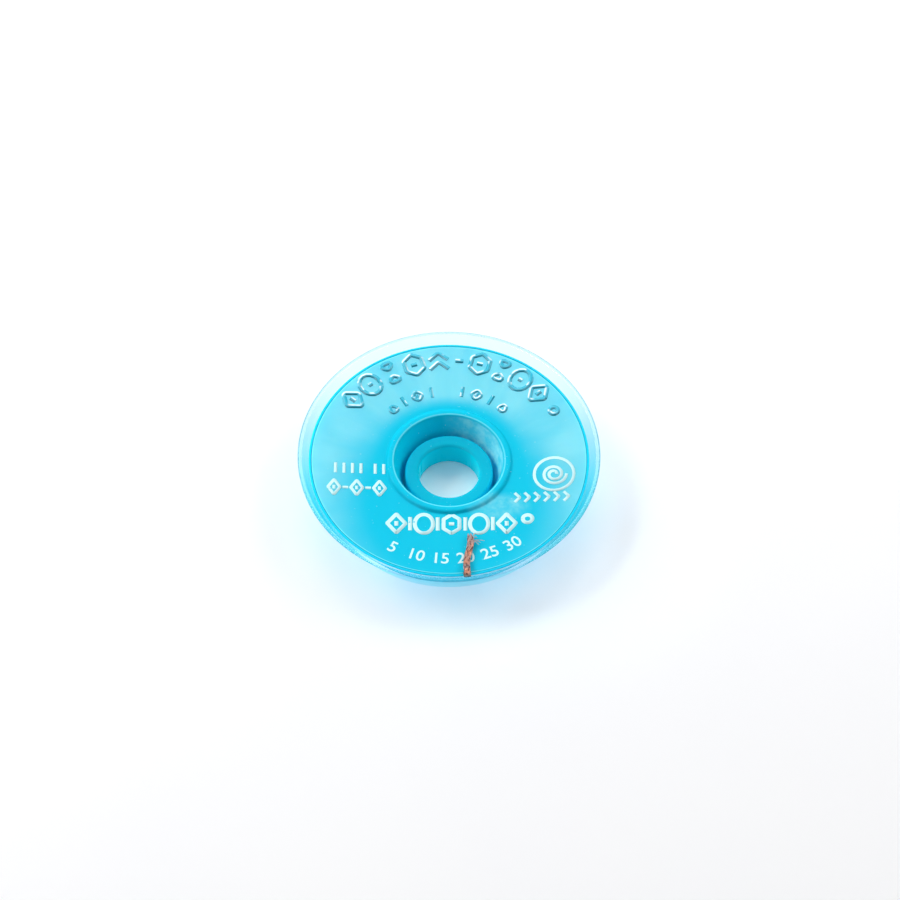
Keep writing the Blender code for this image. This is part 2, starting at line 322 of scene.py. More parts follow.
class SurfaceGroups:
    """Shader groups that several finishes share, each built when it is first asked for."""

    @cached_property
    def flow(self) -> Tree:
        """Streaks that run out from the gate, as plastic flows in its mould.

        Returns:
            The group, which puts out Streaks and Haze, both 0 to 1.
        """
        sockets = {"Spread": 3.2, "Draw": 55.0}
        graph, given, result = new_group(
            "ShaderNodeTree", "mould flow", sockets, {"Streaks": "Float", "Haze": "Float"}
        )
        place = graph.place()
        x, y, _ = graph.split(place)
        level = graph.xyz(x, y)
        radius = graph.vector("LENGTH", level)
        around = graph.vector("SCALE", graph.vector("NORMALIZE", level), given.outputs["Spread"])
        drawn = graph.times(radius, given.outputs["Draw"])
        polar = graph.vector("ADD", around, graph.xyz(z=drawn))
        streaks = graph.remap(graph.noise(polar, 1.6, 4.0), 0.32, 0.70)
        haze = graph.remap(graph.noise(place, 95.0, 2.0), 0.35, 0.68)
        graph.fill(result, {"Streaks": streaks, "Haze": haze})
        return graph.tree

    @cached_property
    def handling(self) -> Tree:
        """Fine scratches and specks of dust from handling.

        Returns:
            The group, which puts out Height, Specks and Smudge, all 0 to 1.
        """
        sockets = {"Scratch Scale": 900.0, "Speck Scale": 2600.0}
        outputs = {"Height": "Float", "Specks": "Float", "Smudge": "Float"}
        graph, given, result = new_group("ShaderNodeTree", "handling", sockets, outputs)
        place = graph.place()
        drawn_out = {"Vector": place, "Rotation": (0.0, 0.0, 0.7), "Scale": (1.0, 0.04, 1.0)}
        slant = graph.out("ShaderNodeMapping", drawn_out)
        scratches = graph.noise(slant, given.outputs["Scratch Scale"], 2.0)
        lines = graph.remap(scratches, 0.66, 0.72)
        specks = graph.remap(graph.noise(place, given.outputs["Speck Scale"], 1.0), 0.74, 0.80)
        smudge = graph.remap(graph.noise(place, 160.0, 4.0), 0.45, 0.75)
        graph.fill(result, {"Height": lines, "Specks": specks, "Smudge": smudge})
        return graph.tree

    @cached_property
    def hub(self) -> Tree:
        """Zones of the cover, most of them masks for painted light and shade: its well, the wall of
        the peg hole, the painted light on one side of the well, painted highlight lines, painted
        shade in the groove at its edge, the band past that step, and the painted light towards its
        outer part and its back, with a smudge.

        Returns:
            The group, which puts out Well, Bore, Frost, Line, Groove, Brink and Outside.
        """
        sockets = {"Radius": 0.0089, "Top": 0.0074, "Edge": 0.02172}
        names = ("Well", "Bore Light", "Well Light", "Line", "Groove Shade", "Brink", "Light And Smudge")
        well_wall, well_depth = 0.3 * MM, 0.4 * MM
        # Painted light on one side of the well: the way that side faces, and the radii past which it
        # sets in.
        lit_side_way, lit_side_reach = (0.80, 0.60, 0.0), (7.2 * MM, 7.5 * MM)
        bore_wall = (5.5 * MM, 5.1 * MM)
        # Widths of the painted highlight lines at the cover's edge and round the well's rim, and how
        # strong the latter is.
        edge_highlight, rim_highlight, rim_highlight_share = (0.09 * MM, 0.03 * MM), (0.16 * MM, 0.05 * MM), 0.6
        # Place and width of the painted shade in the groove past the edge's highlight line.
        groove_place, groove_shade_width = 0.15 * MM, (0.08 * MM, 0.03 * MM)
        brink_step = (0.10 * MM, 0.18 * MM)
        # Reach of the painted light that lightens the cover towards its outer part and its back, and
        # where it starts out from the hub.
        light_reach, light_toward_back, light_from_hub = (10.5 * MM, 20.0 * MM), 0.5, (10.3 * MM, 13.0 * MM)
        smear_place, smear_shape = (8.0 * MM, -8.6 * MM, 0.0), (0.55, 1.1, 0.0)
        smear_edge = (3.4 * MM, 1.2 * MM)

        graph, given, result = new_group(
            "ShaderNodeTree", "cover zones", sockets, dict.fromkeys(names, "Float")
        )
        rim, top, edge = (given.outputs[name] for name in sockets)
        place = graph.place()
        x, y, z = graph.split(place)
        level = graph.xyz(x, y)
        radius = graph.vector("LENGTH", level)
        inside = graph.remap(radius, rim, graph.minus(rim, well_wall))
        below = graph.remap(z, top, graph.minus(top, well_depth))
        well = graph.times(inside, below)
        sideways = graph.vector("DOT_PRODUCT", graph.vector("NORMALIZE", level), lit_side_way)
        # Painted light on one side of the well, in blotches of noise that also mottle the smudge.
        film = graph.remap(sideways, 0.45, 0.95)
        blotches = graph.remap(graph.noise(place, 700.0, 5.0), 0.30, 0.72, 0.25, 0.85)
        well_light = graph.times(graph.times(film, blotches), graph.remap(radius, *lit_side_reach))
        past_edge = graph.minus(radius, edge)
        from_edge = graph.math("ABSOLUTE", past_edge)
        from_rim = graph.math("ABSOLUTE", graph.minus(radius, rim))
        from_groove = graph.math("ABSOLUTE", graph.minus(past_edge, groove_place))
        # Painted highlight line round the well's rim, on its upper part only.
        hub_highlight = graph.times(graph.remap(from_rim, *rim_highlight), rim_highlight_share)
        hub_highlight = graph.times(hub_highlight, graph.minus(1.0, below))
        # Painted light: lighter outwards and towards the back, and none on the hub.
        haze_and_light = graph.remap(graph.scaled(y, light_toward_back, radius), *light_reach)
        haze_and_light = graph.times(haze_and_light, graph.remap(radius, *light_from_hub))
        from_smear = graph.vector("SUBTRACT", level, smear_place)
        from_smear = graph.vector("LENGTH", graph.vector("MULTIPLY", from_smear, smear_shape))
        smeared = graph.times(graph.remap(from_smear, *smear_edge), blotches)
        zones = {
            "Well": well,
            "Bore Light": graph.remap(radius, *bore_wall),
            "Well Light": graph.times(well_light, well),
            "Line": graph.math("MAXIMUM", graph.remap(from_edge, *edge_highlight), hub_highlight),
            "Groove Shade": graph.remap(from_groove, *groove_shade_width),
            "Brink": graph.remap(past_edge, *brink_step),
            "Light And Smudge": graph.math("MAXIMUM", haze_and_light, smeared),
        }
        graph.fill(result, zones)
        return graph.tree

    @cached_property
    def tarnish(self) -> Tree:
        """Uneven copper: clean wire, pinker flux film, and a dark oxide colour that the Shade input
        brings in, which paints the shade between and under the wires and darkens some wires at
        random.

        Returns:
            The group, which puts out Color and Roughness.
        """
        sockets = {
            "Bright": rgba((0.74, 0.33, 0.21)),
            "Film": rgba((0.43, 0.305, 0.285)),
            # Dark copper, both for random darker wires and as painted shade.
            "Oxide And Shade": rgba((0.10, 0.025, 0.018)),
            "Shade": 0.5,
            "Scale": 700.0,
        }
        graph, given, result = new_group(
            "ShaderNodeTree", "tarnish", sockets, {"Color": "Color", "Roughness": "Float"}
        )
        place = graph.place()
        patches = graph.remap(graph.noise(place, given.outputs["Scale"], 3.0), 0.40, 0.60)
        dulled = graph.mix(patches, given.outputs["Bright"], given.outputs["Film"])
        # Share of the dark colour: painted shade, and random darker wires.
        dark = graph.remap(given.outputs["Shade"], 0.35, 0.95, 0.0, 0.9)
        graph.fill(result, {
            "Color": graph.mix(dark, dulled, given.outputs["Oxide And Shade"]),
            "Roughness": graph.remap(patches, 0.0, 1.0, 0.30, 0.48),
        })
        return graph.tree

    @cached_property
    def weave(self) -> Tree:
        """The crossing strands of a flat braid, from its along and across attributes.

        Returns:
            The group, which puts out Height, 0 in the gaps between strands and 1 on them.
        """
        sockets = {"Lay": 0.0035, "Strand": 0.00022}
        graph, given, result = new_group("ShaderNodeTree", "weave", sockets, {"Height": "Float"})
        along = graph.attribute("along")
        across = graph.attribute("across")
        strand = given.outputs["Strand"]
        full_lean = 0.0020
        leaning = graph.times(along, graph.ratio(full_lean, given.outputs["Lay"]))
        ridges = []
        for lean in (1.0, -1.0):
            line = graph.scaled(across, lean, leaning)
            phase = graph.times(graph.ratio(line, strand), math.tau)
            ridges.append(graph.math("ABSOLUTE", graph.math("SINE", graph.times(phase, 0.5))))
        turns = graph.ratio(leaning, strand)
        over = graph.math("GREATER_THAN", graph.math("SINE", graph.times(turns, math.tau)), 0.0)
        woven = {"Factor": over, "A": ridges[0], "B": ridges[1]}
        graph.feed(result, "Height", graph.out("ShaderNodeMix", woven))
        return graph.tree


def new_material(name: str) -> tuple[Material, Graph, Node]:
    """Starts a material with one Principled shader.

    Args:
        name: The material's name.

    Returns:
        The material, its graph and the shader.
    """
    material = bpy.data.materials.new(name)
    material.use_nodes = True
    graph = Graph(material.node_tree)
    return material, graph, material.node_tree.nodes["Principled BSDF"]


def let_light_through(graph: Graph, shader: Node, tint: Color) -> None:
    """Lets rays from lamps pass a see-through plastic in its own tint.

    Args:
        graph: The material's graph.
        shader: The plastic's shader.
        tint: The colour of the light that has passed.
    """
    output = graph.tree.nodes["Material Output"]
    path = graph.node("ShaderNodeLightPath").outputs["Is Shadow Ray"]
    passed = graph.node("ShaderNodeBsdfTransparent", {"Color": rgba(tint)})
    mixed = graph.node("ShaderNodeMixShader", {0: path, 1: shader.outputs[0], 2: passed.outputs[0]})
    graph.feed(output, "Surface", mixed.outputs[0])


@dataclass(frozen=True)
class ClearPlastic:
    """Thin clear moulding plastic with a pale turquoise tint.

    Attributes:
        tint: Its tint where it is looked at square on.
        clouded: The same where the flow of the plastic clouds it.
        deep: Its tint where it is looked at along its thickness.
        brink: What is left of its tint at the rim's outermost edge, which it darkens as painted
            shade.
        brink_radius: Radius past which it has that tint.
        brink_blur: Half the width over which that tint sets in.
        gloss: Weight of the glossy coat on its outside.
        lamp_tint: The colour of the light that comes through it.
    """

    tint: Color = (0.80, 0.915, 0.965)
    clouded: Color = (0.86, 0.960, 0.990)
    deep: Color = (0.04, 0.700, 0.820)
    brink: Color = (0.45, 0.740, 0.820)
    brink_radius: float = 0.02383
    brink_blur: float = 0.04 * MM
    gloss: float = 0.7
    lamp_tint: Color = (0.900, 0.930, 0.955)

    def material(self, groups: SurfaceGroups) -> Material:
        """Builds the finish.

        Args:
            groups: The shared shader groups.

        Returns:
            The material.
        """
        material, graph, shader = new_material("clear_turquoise")
        flow = graph.group(groups.flow)
        handling = graph.group(groups.handling)
        clouding = graph.times(flow["Streaks"], 0.4)
        tint = graph.mix(clouding, rgba(self.tint), rgba(self.clouded))
        slanting = graph.node("ShaderNodeLayerWeight", {"Blend": 0.5}).outputs["Facing"]
        tint = graph.mix(graph.remap(slanting, 0.20, 0.85), tint, rgba(self.deep))
        place = graph.place()
        level = graph.vector("MULTIPLY", place, (1.0, 1.0, 0.0))
        # Painted shade: a darker ring along the rim's outermost edge.
        at_rim = graph.minus(graph.vector("LENGTH", level), self.brink_radius)
        at_rim = graph.remap(at_rim, -self.brink_blur, self.brink_blur)
        brink = graph.vector("MULTIPLY", tint, self.brink)
        graph.feed(shader, "Base Color", graph.mix(at_rim, tint, brink))
        worn = graph.scaled(handling["Smudge"], 0.04, 0.03)
        graph.fill(shader, {"Roughness": worn, "IOR": 1.0})
        inside = graph.node("ShaderNodeNewGeometry").outputs["Backfacing"]
        graph.fill(shader, {
            "Coat Weight": graph.scaled(inside, -self.gloss, self.gloss),
            "Coat IOR": 1.5,
            "Coat Roughness": 0.03,
            "Transmission Weight": 1.0,
        })
        let_light_through(graph, shader, self.lamp_tint)
        return material


@dataclass(frozen=True)
class TurquoisePlastic:
    """Dense turquoise plastic, hazy along its flow and lightly handled, with painted light and
    painted shade in some of its zones.

    Attributes:
        name: The finish's name.
        body: Its colour.
        haze_and_light: Its colour where its haze and the painted light are thickest; the painted
            light lightens it towards its outer part and its back.
        edge: Its painted shade on steep faces and in the groove at its edge.
        steep_shade: How much of that painted shade the steepest faces show.
        line: The colour of the painted highlight lines at its edges.
        brink: Its colour outside the step round its edge.
        well: Its colour down the well: lighter than its body, as painted light for the light that
            comes through its wall.
        bore: Its colour on the wall of the peg hole: lighter than its body, as painted light.
        well_light: The colour of the painted light on one side of the well, in blotches.
        dust: The colour of the specks of dust on it.
        polish: Roughness of its smoothest places.
        shine: Its specular level.
        glow: Weight of the light that scatters inside it.
        glow_colour: How far each colour of that light goes.
        glow_reach: Scale of those distances.
        lamp_tint: The colour of the light that comes through it.
    """

    name: str = "turquoise"
    body: Color = (0.004, 0.570, 0.785)
    haze_and_light: Color = (0.270, 0.775, 0.870)
    edge: Color = (0.000, 0.330, 0.480)
    steep_shade: float = 0.35
    line: Color = (0.200, 0.840, 0.960)
    brink: Color = (0.010, 0.600, 0.850)
    well: Color = (0.002, 0.640, 0.830)
    bore: Color = (0.000, 0.680, 0.800)
    well_light: Color = (0.350, 0.880, 0.960)
    dust: Color = (0.55, 0.85, 0.92)
    polish: float = 0.17
    shine: float = 0.03
    glow: float = 0.35
    glow_colour: Color = (0.3, 1.0, 1.2)
    glow_reach: float = 0.0008
    lamp_tint: Color = (0.79, 0.83, 0.87)

    def material(self, groups: SurfaceGroups) -> Material:
        """Builds the finish.

        Args:
            groups: The shared shader groups.

        Returns:
            The material.
        """
        material, graph, shader = new_material(self.name)
        flow = graph.group(groups.flow)
        handling = graph.group(groups.handling)
        hub = graph.group(groups.hub)
        # Haze along the flow, laid over the painted light that lightens the cover towards its outer
        # part and its back.
        haze_and_light_share = graph.scaled(flow["Streaks"], 0.16, 0.50)
        haze_and_light_share = graph.scaled(flow["Haze"], 0.20, haze_and_light_share)
        haze_and_light_share = graph.times(haze_and_light_share, hub["Light And Smudge"])
        tint = graph.mix(haze_and_light_share, rgba(self.body), rgba(self.haze_and_light))
        upright = graph.split(graph.attribute("slant", "Vector"))[2]
        # Painted shade on steep faces.
        steep = graph.remap(upright, 0.95, 0.45, 0.0, self.steep_shade)
        tint = graph.mix(steep, tint, rgba(self.edge))
        tint = graph.mix(hub["Brink"], tint, rgba(self.brink))
        # Painted shade in the groove at the edge.
        tint = graph.mix(hub["Groove Shade"], tint, rgba(self.edge))
        # Painted highlight lines at the edge and round the well.
        tint = graph.mix(hub["Line"], tint, rgba(self.line))
        # Painted light down the well.
        tint = graph.mix(hub["Well"], tint, rgba(self.well))
        # Painted light on the wall of the peg hole, on its steep faces only.
        bore_light = graph.times(hub["Bore Light"], graph.remap(upright, 0.7, 0.2))
        tint = graph.mix(bore_light, tint, rgba(self.bore))
        # Painted light on one side of the well.
        tint = graph.mix(hub["Well Light"], tint, rgba(self.well_light))
        dusty = graph.times(handling["Specks"], 0.35)
        graph.feed(shader, "Base Color", graph.mix(dusty, tint, rgba(self.dust)))
        worn = graph.plus(flow["Streaks"], handling["Smudge"])
        rough = graph.scaled(worn, self.polish * 0.3, self.polish)
        graph.fill(shader, {
            "Roughness": rough,
            "IOR": 1.49,
            "Specular IOR Level": self.shine,
            "Subsurface Weight": self.glow,
            "Subsurface Radius": self.glow_colour,
            "Subsurface Scale": self.glow_reach,
        })
        bump = {"Height": handling["Height"], "Strength": 0.12, "Distance": 0.00002}
        graph.feed(shader, "Normal", graph.out("ShaderNodeBump", bump))
        let_light_through(graph, shader, self.lamp_tint)
        return material


@dataclass(frozen=True)
class RaisedPlastic:
    """The turquoise plastic of the raised marks, with painted highlights and painted shade on its
    bevels by the way that each faces.

    Attributes:
        body: Its colour on its level faces.
        shaded: Its colour on the bevels towards the front: painted shade.
        painted_glint: Its colour on the bevels towards the back: painted highlights.
        polish: Its roughness.
        lamp_tint: The colour of the light that comes through it.
    """

    body: Color = (0.020, 0.480, 0.660)
    shaded: Color = (0.000, 0.215, 0.300)
    painted_glint: Color = (0.860, 1.000, 1.000)
    polish: float = 0.06
    lamp_tint: Color = (0.79, 0.83, 0.87)

    def material(self, groups: SurfaceGroups) -> Material:
        """Builds the finish.

        Args:
            groups: The shared shader groups.

        Returns:
            The material.
        """
        material, graph, shader = new_material("turquoise_relief")
        flow = graph.group(groups.flow)
        handling = graph.group(groups.handling)
        slant = graph.attribute("slant", "Vector")
        # Painted shade on the bevels that face the front, and painted highlights in blotches on those
        # that face the back.
        away = graph.vector("DOT_PRODUCT", slant, (-0.15, 0.99, 0.0))
        place = graph.place()
        uneven = graph.noise(place, 420.0, 1.0)
        dark = graph.remap(away, -0.05, -0.45, 0.0, graph.remap(uneven, 0.30, 0.55, 0.60, 1.0))
        light = graph.remap(away, -0.10, 0.08, 0.0, graph.remap(uneven, 0.45, 0.53))
        tint = graph.mix(dark, rgba(self.body), rgba(self.shaded))
        tint = graph.mix(light, tint, rgba(self.painted_glint))
        graph.feed(shader, "Base Color", tint)
        worn = graph.times(flow["Streaks"], handling["Smudge"])
        graph.fill(shader, {"Roughness": graph.scaled(worn, 0.1, self.polish), "IOR": 1.49})
        let_light_through(graph, shader, self.lamp_tint)
        return material


@dataclass(frozen=True)
class WhiteInk:
    """Pad-printed white ink, thin and rubbed where it has been handled.

    Attributes:
        ink: Its colour.
        thinned: Its colour where it is worn thin.
        under: The colour of the plastic that shows where it is rubbed off.
        rubbed: Share of the ink that is gone, as a noise level.
    """

    ink: Color = (0.60, 0.930, 0.960)
    thinned: Color = (0.45, 0.85, 0.93)
    under: Color = (0.02, 0.56, 0.78)
    rubbed: float = 0.66

    def material(self, groups: SurfaceGroups) -> Material:
        """Builds the finish.

        Args:
            groups: The shared shader groups.

        Returns:
            The material.
        """
        material, graph, shader = new_material("white_ink")
        place = graph.place()
        handling = graph.group(groups.handling)
        bare = graph.remap(graph.noise(place, 1500.0, 5.0), self.rubbed, self.rubbed + 0.06)
        thin = graph.times(handling["Smudge"], 0.22)
        shown = graph.mix(thin, rgba(self.ink), rgba(self.thinned))
        graph.fill(shader, {
            "Base Color": graph.mix(bare, shown, rgba(self.under)),
            "Roughness": graph.scaled(bare, -0.15, 0.45),
        })
        return material


@dataclass(frozen=True)
class CopperBraid:
    """Bare copper wire with a film of flux.

    Attributes:
        woven: Whether the weave comes from bump, as on the wound tape, or from real wires.
    """

    woven: bool = False

    def material(self, groups: SurfaceGroups) -> Material:
        """Builds the finish.

        Args:
            groups: The shared shader groups.

        Returns:
            The material.
        """
        material, graph, shader = new_material("copper_tape" if self.woven else "copper_wire")
        shade = graph.attribute("shade")
        if self.woven:
            weave = graph.group(groups.weave)
            # Painted shade in the gaps between the strands of the wound tape.
            shade = graph.minus(1.0, weave["Height"])
            bump = {"Height": weave["Height"], "Strength": 0.9, "Distance": 0.00006}
            graph.feed(shader, "Normal", graph.out("ShaderNodeBump", bump))
        tarnish = graph.group(groups.tarnish, {"Shade": shade})
        graph.fill(shader, {
            "Base Color": tarnish["Color"],
            "Roughness": tarnish["Roughness"],
            "Metallic": 0.6,
        })
        return material


@dataclass(frozen=True)
class PaleFloor:
    """The white sweep that the bobbin lies on, a little cooler in its hollows.

    Attributes:
        light: Its colour.
        cool: The colour of its faint mottling.
    """

    light: Color = (0.955, 0.955, 0.960)
    cool: Color = (0.940, 0.942, 0.955)

    def material(self) -> Material:
        """Builds the finish.

        Returns:
            The material.
        """
        material, graph, shader = new_material("pale_floor")
        place = graph.place()
        mottled = graph.remap(graph.noise(place, 14.0, 3.0), 0.35, 0.7)
        graph.fill(shader, {
            "Base Color": graph.mix(mottled, rgba(self.light), rgba(self.cool)),
            "Roughness": 0.8,
            "Specular IOR Level": 0.2,
        })
        return material


@dataclass(frozen=True)
class Bobbin:
    """Sizes that the bobbin's pieces share, in metres. The outermost come from the frame.

    Attributes:
        rim_radius: Radius of the dish's rim.
        dish_height: Height of the rim above the floor.
        gap: Gap that neighbouring pieces keep.
        dish_wall: Thickness of the dish.
        wall_lean: How far the dish's wall leans out from upright.
        rim_rounding: Rounding of the rim.
        base_rounding: Rounding where the wall meets the floor of the dish.
        cover_drop: How far the cover's edge lies below the rim.
        cover_fall: How far the cover falls from its edge to its hub.
        cover_wall: Thickness of the cover.
        hub_radius: Radius of the ring round the well.
        hub_rise: Height of that ring above the cover.
        boss_radius: Outer radius of the dish's boss.
        well_radius: Radius of the well at its top.
        sleeve_wall: Wall of the sleeve round the boss.
    """

    rim_radius: float
    dish_height: float
    gap: float = 0.0003
    dish_wall: float = 0.0007
    wall_lean: float = math.radians(28.5)
    rim_rounding: float = 0.0002
    base_rounding: float = 0.0008
    cover_drop: float = 0.0012
    cover_fall: float = 0.0008
    cover_wall: float = 0.0010
    hub_radius: float = 0.0101
    hub_rise: float = 0.0005
    boss_radius: float = 0.0070
    well_radius: float = 0.00865
    sleeve_wall: float = 0.0010

    @classmethod
    def from_frame(cls) -> "Bobbin":
        """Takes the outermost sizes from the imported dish."""
        low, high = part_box("back_shell")
        return cls(rim_radius=(high.x - low.x) / 2, dish_height=high.z)

    @property
    def slant(self) -> float:
        """Room that a thickness square to the leaning wall takes up level."""
        return 1 / math.cos(self.wall_lean)

    @property
    def edge_top(self) -> float:
        """Height of the cover's upper edge."""
        return self.dish_height - self.cover_drop

    @property
    def hub_foot(self) -> float:
        """Height of the cover's upper face at its hub."""
        return self.edge_top - self.cover_fall

    @property
    def hub_top(self) -> float:
        """Height of the ring round the well."""
        return self.hub_foot + self.hub_rise

    @property
    def cover_radius(self) -> float:
        """Radius of the cover's upper edge."""
        return self.inside_wall(self.edge_top, self.gap)

    @property
    def cover_slope(self) -> float:
        """Rise of the cover's upper face for each metre out."""
        return self.cover_fall / (self.cover_radius - self.hub_radius)

    @property
    def winding_foot(self) -> float:
        """Height of the winding's lower face, and of the sleeve's foot."""
        return self.dish_wall + self.gap

    @property
    def winding_top(self) -> float:
        """Height of the winding's upper face."""
        return self.hub_foot - self.cover_wall - self.gap

    def outside_wall(self, height: float) -> float:
        """Radius of the dish's outer face at a height."""
        corner = self.rim_radius + self.rim_rounding * (math.tan(self.wall_lean) + self.slant - 1)
        return corner - (self.dish_height - height) * math.tan(self.wall_lean)

    def inside_wall(self, height: float, clearance: float = 0.0) -> float:
        """Radius at a height, at a clearance square to the dish's inner face."""
        return self.outside_wall(height) - (self.dish_wall + clearance) * self.slant

    def cover_top(self, radius: float) -> float:
        """Height of the cover's upper face at a radius."""
        return self.hub_foot + self.cover_slope * (radius - self.hub_radius)

    def sleeve_outside(self, height: float) -> float:
        """Outer radius of the tapered sleeve that the braid is wound round.

        Args:
            height: Height above the floor.

        Returns:
            The radius.
        """
        bore = self.boss_radius + self.gap
        share = (height - self.winding_foot) / (self.hub_top - self.winding_foot)
        return bore + (self.well_radius - bore) * share + self.sleeve_wall


@dataclass(frozen=True)
class Lathe:
    """Turns closed outlines round the bobbin's axis.

    Attributes:
        turn_steps: Faces round a full turn.
        rounding_steps: Faces round each rounded corner.
        most_rounded: Share of a side that the rounding at its end may take.
    """

    turn_steps: int = 192
    rounding_steps: int = 6
    most_rounded: float = 0.45

    def rounded(self, corners: Sequence[tuple[float, float, float]]) -> list[Vector]:
        """Rounds the corners of a closed outline.

        Args:
            corners: Each corner's radius, height and rounding.

        Returns:
            The outline's points.
        """
        outline: list[Vector] = []
        for index, (radius, height, rounding) in enumerate(corners):
            corner = Vector((radius, height))
            back = Vector(corners[index - 1][:2]) - corner
            ahead = Vector(corners[(index + 1) % len(corners)][:2]) - corner
            half = back.angle(ahead) / 2
            room = self.most_rounded * min(back.length, ahead.length)
            reach = min(rounding / math.tan(half), room)
            if reach <= 0.0:
                outline.append(corner)
                continue
            start = corner + back.normalized() * reach
            end = corner + ahead.normalized() * reach
            bisector = (start + end - 2 * corner).normalized()
            middle = corner + bisector * (reach / math.cos(half))
            sweep = (start - middle).angle_signed(end - middle)
            for step in range(self.rounding_steps + 1):
                spoke = start - middle
                spoke.rotate(Matrix.Rotation(-sweep * step / self.rounding_steps, 2))
                outline.append(middle + spoke)
        return outline

    def turned(self, name: str, corners: Sequence[tuple[float, float, float]]) -> Object:
        """Turns a rounded outline into a closed ring of faces.

        Args:
            name: The object's name.
            corners: The outline's corners.

        Returns:
            The object.
        """
        outline = self.rounded(corners)
        bm = bmesh.new()
        rings = []
        for step in range(self.turn_steps):
            spin = Matrix.Rotation(math.tau * step / self.turn_steps, 3, "Z")
            rings.append([bm.verts.new(spin @ Vector((x, 0.0, z))) for x, z in outline])
        for index, ring in enumerate(rings):
            following = rings[(index + 1) % len(rings)]
            for corner in range(len(ring)):
                after = (corner + 1) % len(ring)
                bm.faces.new((ring[corner], following[corner], following[after], ring[after]))
        return finished_object(name, bm)


def finished_object(name: str, bm: bmesh.types.BMesh) -> Object:
    """Makes a smooth-shaded object of a bmesh, with its faces pointing out.

    Args:
        name: The object's name.
        bm: Its mesh, which is freed.

    Returns:
        The object.
    """
    bmesh.ops.recalc_face_normals(bm, faces=bm.faces)
    mesh = bpy.data.meshes.new(name)
    bm.to_mesh(mesh)
    bm.free()
    mesh.shade_smooth()
    mesh.set_sharp_from_angle(angle=math.radians(40.0))
    return linked(name, mesh)


def note_slant(mesh: Mesh) -> None:
    """Keeps the way that each part of a mesh faces in an attribute, for its finish.

    Args:
        mesh: The mesh.
    """
    slant = mesh.attributes.new("slant", "FLOAT_VECTOR", "CORNER")
    for item, normal in zip(slant.data, mesh.corner_normals):
        item.vector = normal.vector


def linked(name: str, mesh: Mesh) -> Object:
    """Puts a mesh in the scene.

    Args:
        name: The object's name.
        mesh: Its mesh.

    Returns:
        The object.
    """
    obj = bpy.data.objects.new(name, mesh)
    bpy.context.scene.collection.objects.link(obj)
    return obj


def evaluated(obj: Object) -> Mesh:
    """Makes a plain mesh of an object with its modifiers, and clears them.

    Args:
        obj: The object.

    Returns:
        The new mesh.
    """
    bpy.context.view_layer.update()
    depsgraph = bpy.context.evaluated_depsgraph_get()
    mesh = bpy.data.meshes.new_from_object(obj.evaluated_get(depsgraph))
    obj.modifiers.clear()
    return mesh


def grown(
    name: str, carrier: Mesh, tree: Tree, values: Mapping[str, object]
) -> Object:
    """Runs a geometry tree on a carrier mesh and keeps the result as a plain mesh.

    Args:
        name: The new object's name.
        carrier: The mesh that the tree starts from.
        tree: The tree.
        values: The tree's inputs, by name.

    Returns:
        The object.
    """
    obj = linked(name, carrier)
    modifier = obj.modifiers.new("nodes", "NODES")
    modifier.node_group = tree
    for item in tree.interface.items_tree:
        if item.in_out == "INPUT" and item.name in values:
            modifier[item.identifier] = values[item.name]
    obj.data = evaluated(obj)
    return obj


def dressed(obj: Object, node: str | None) -> Object:
    """Puts a piece on the bobbin's body.

    Args:
        obj: The piece.
        node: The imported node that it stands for, if any.

    Returns:
        The piece.
    """
    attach(obj, BODY)
    if node:
        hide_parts(node)
    LOG.info("%s: %d faces", obj.name, len(obj.data.polygons))
    return obj


@dataclass(frozen=True)
class Stroke:
    """One line of a mark, in the plan of the cover.

    Attributes:
        points: Its corners, to the right and up the mark.
        closed: Whether its last corner joins its first.
    """

    points: tuple[Point, ...]
    closed: bool = False

    def placed(self, size: Point, middle: Point, turn: float) -> "Stroke":
        """Scales a stroke of a unit mark and puts it in its place.

        Args:
            size: The mark's width and height.
            middle: The mark's middle.
            turn: Clockwise turn of the mark.

        Returns:
            The placed stroke.
        """
        spin = Matrix.Rotation(-turn, 2)
        moved = [spin @ Vector((x * size[0], y * size[1])) + Vector(middle) for x, y in self.points]
        return Stroke(tuple((point.x, point.y) for point in moved), self.closed)


def around(sides: int) -> tuple[Point, ...]:
    """Corners of a regular figure in a unit mark, from straight up."""
    turns = [math.tau * side / sides for side in range(sides)]
    return tuple((0.5 * math.sin(turn), 0.5 * math.cos(turn)) for turn in turns)


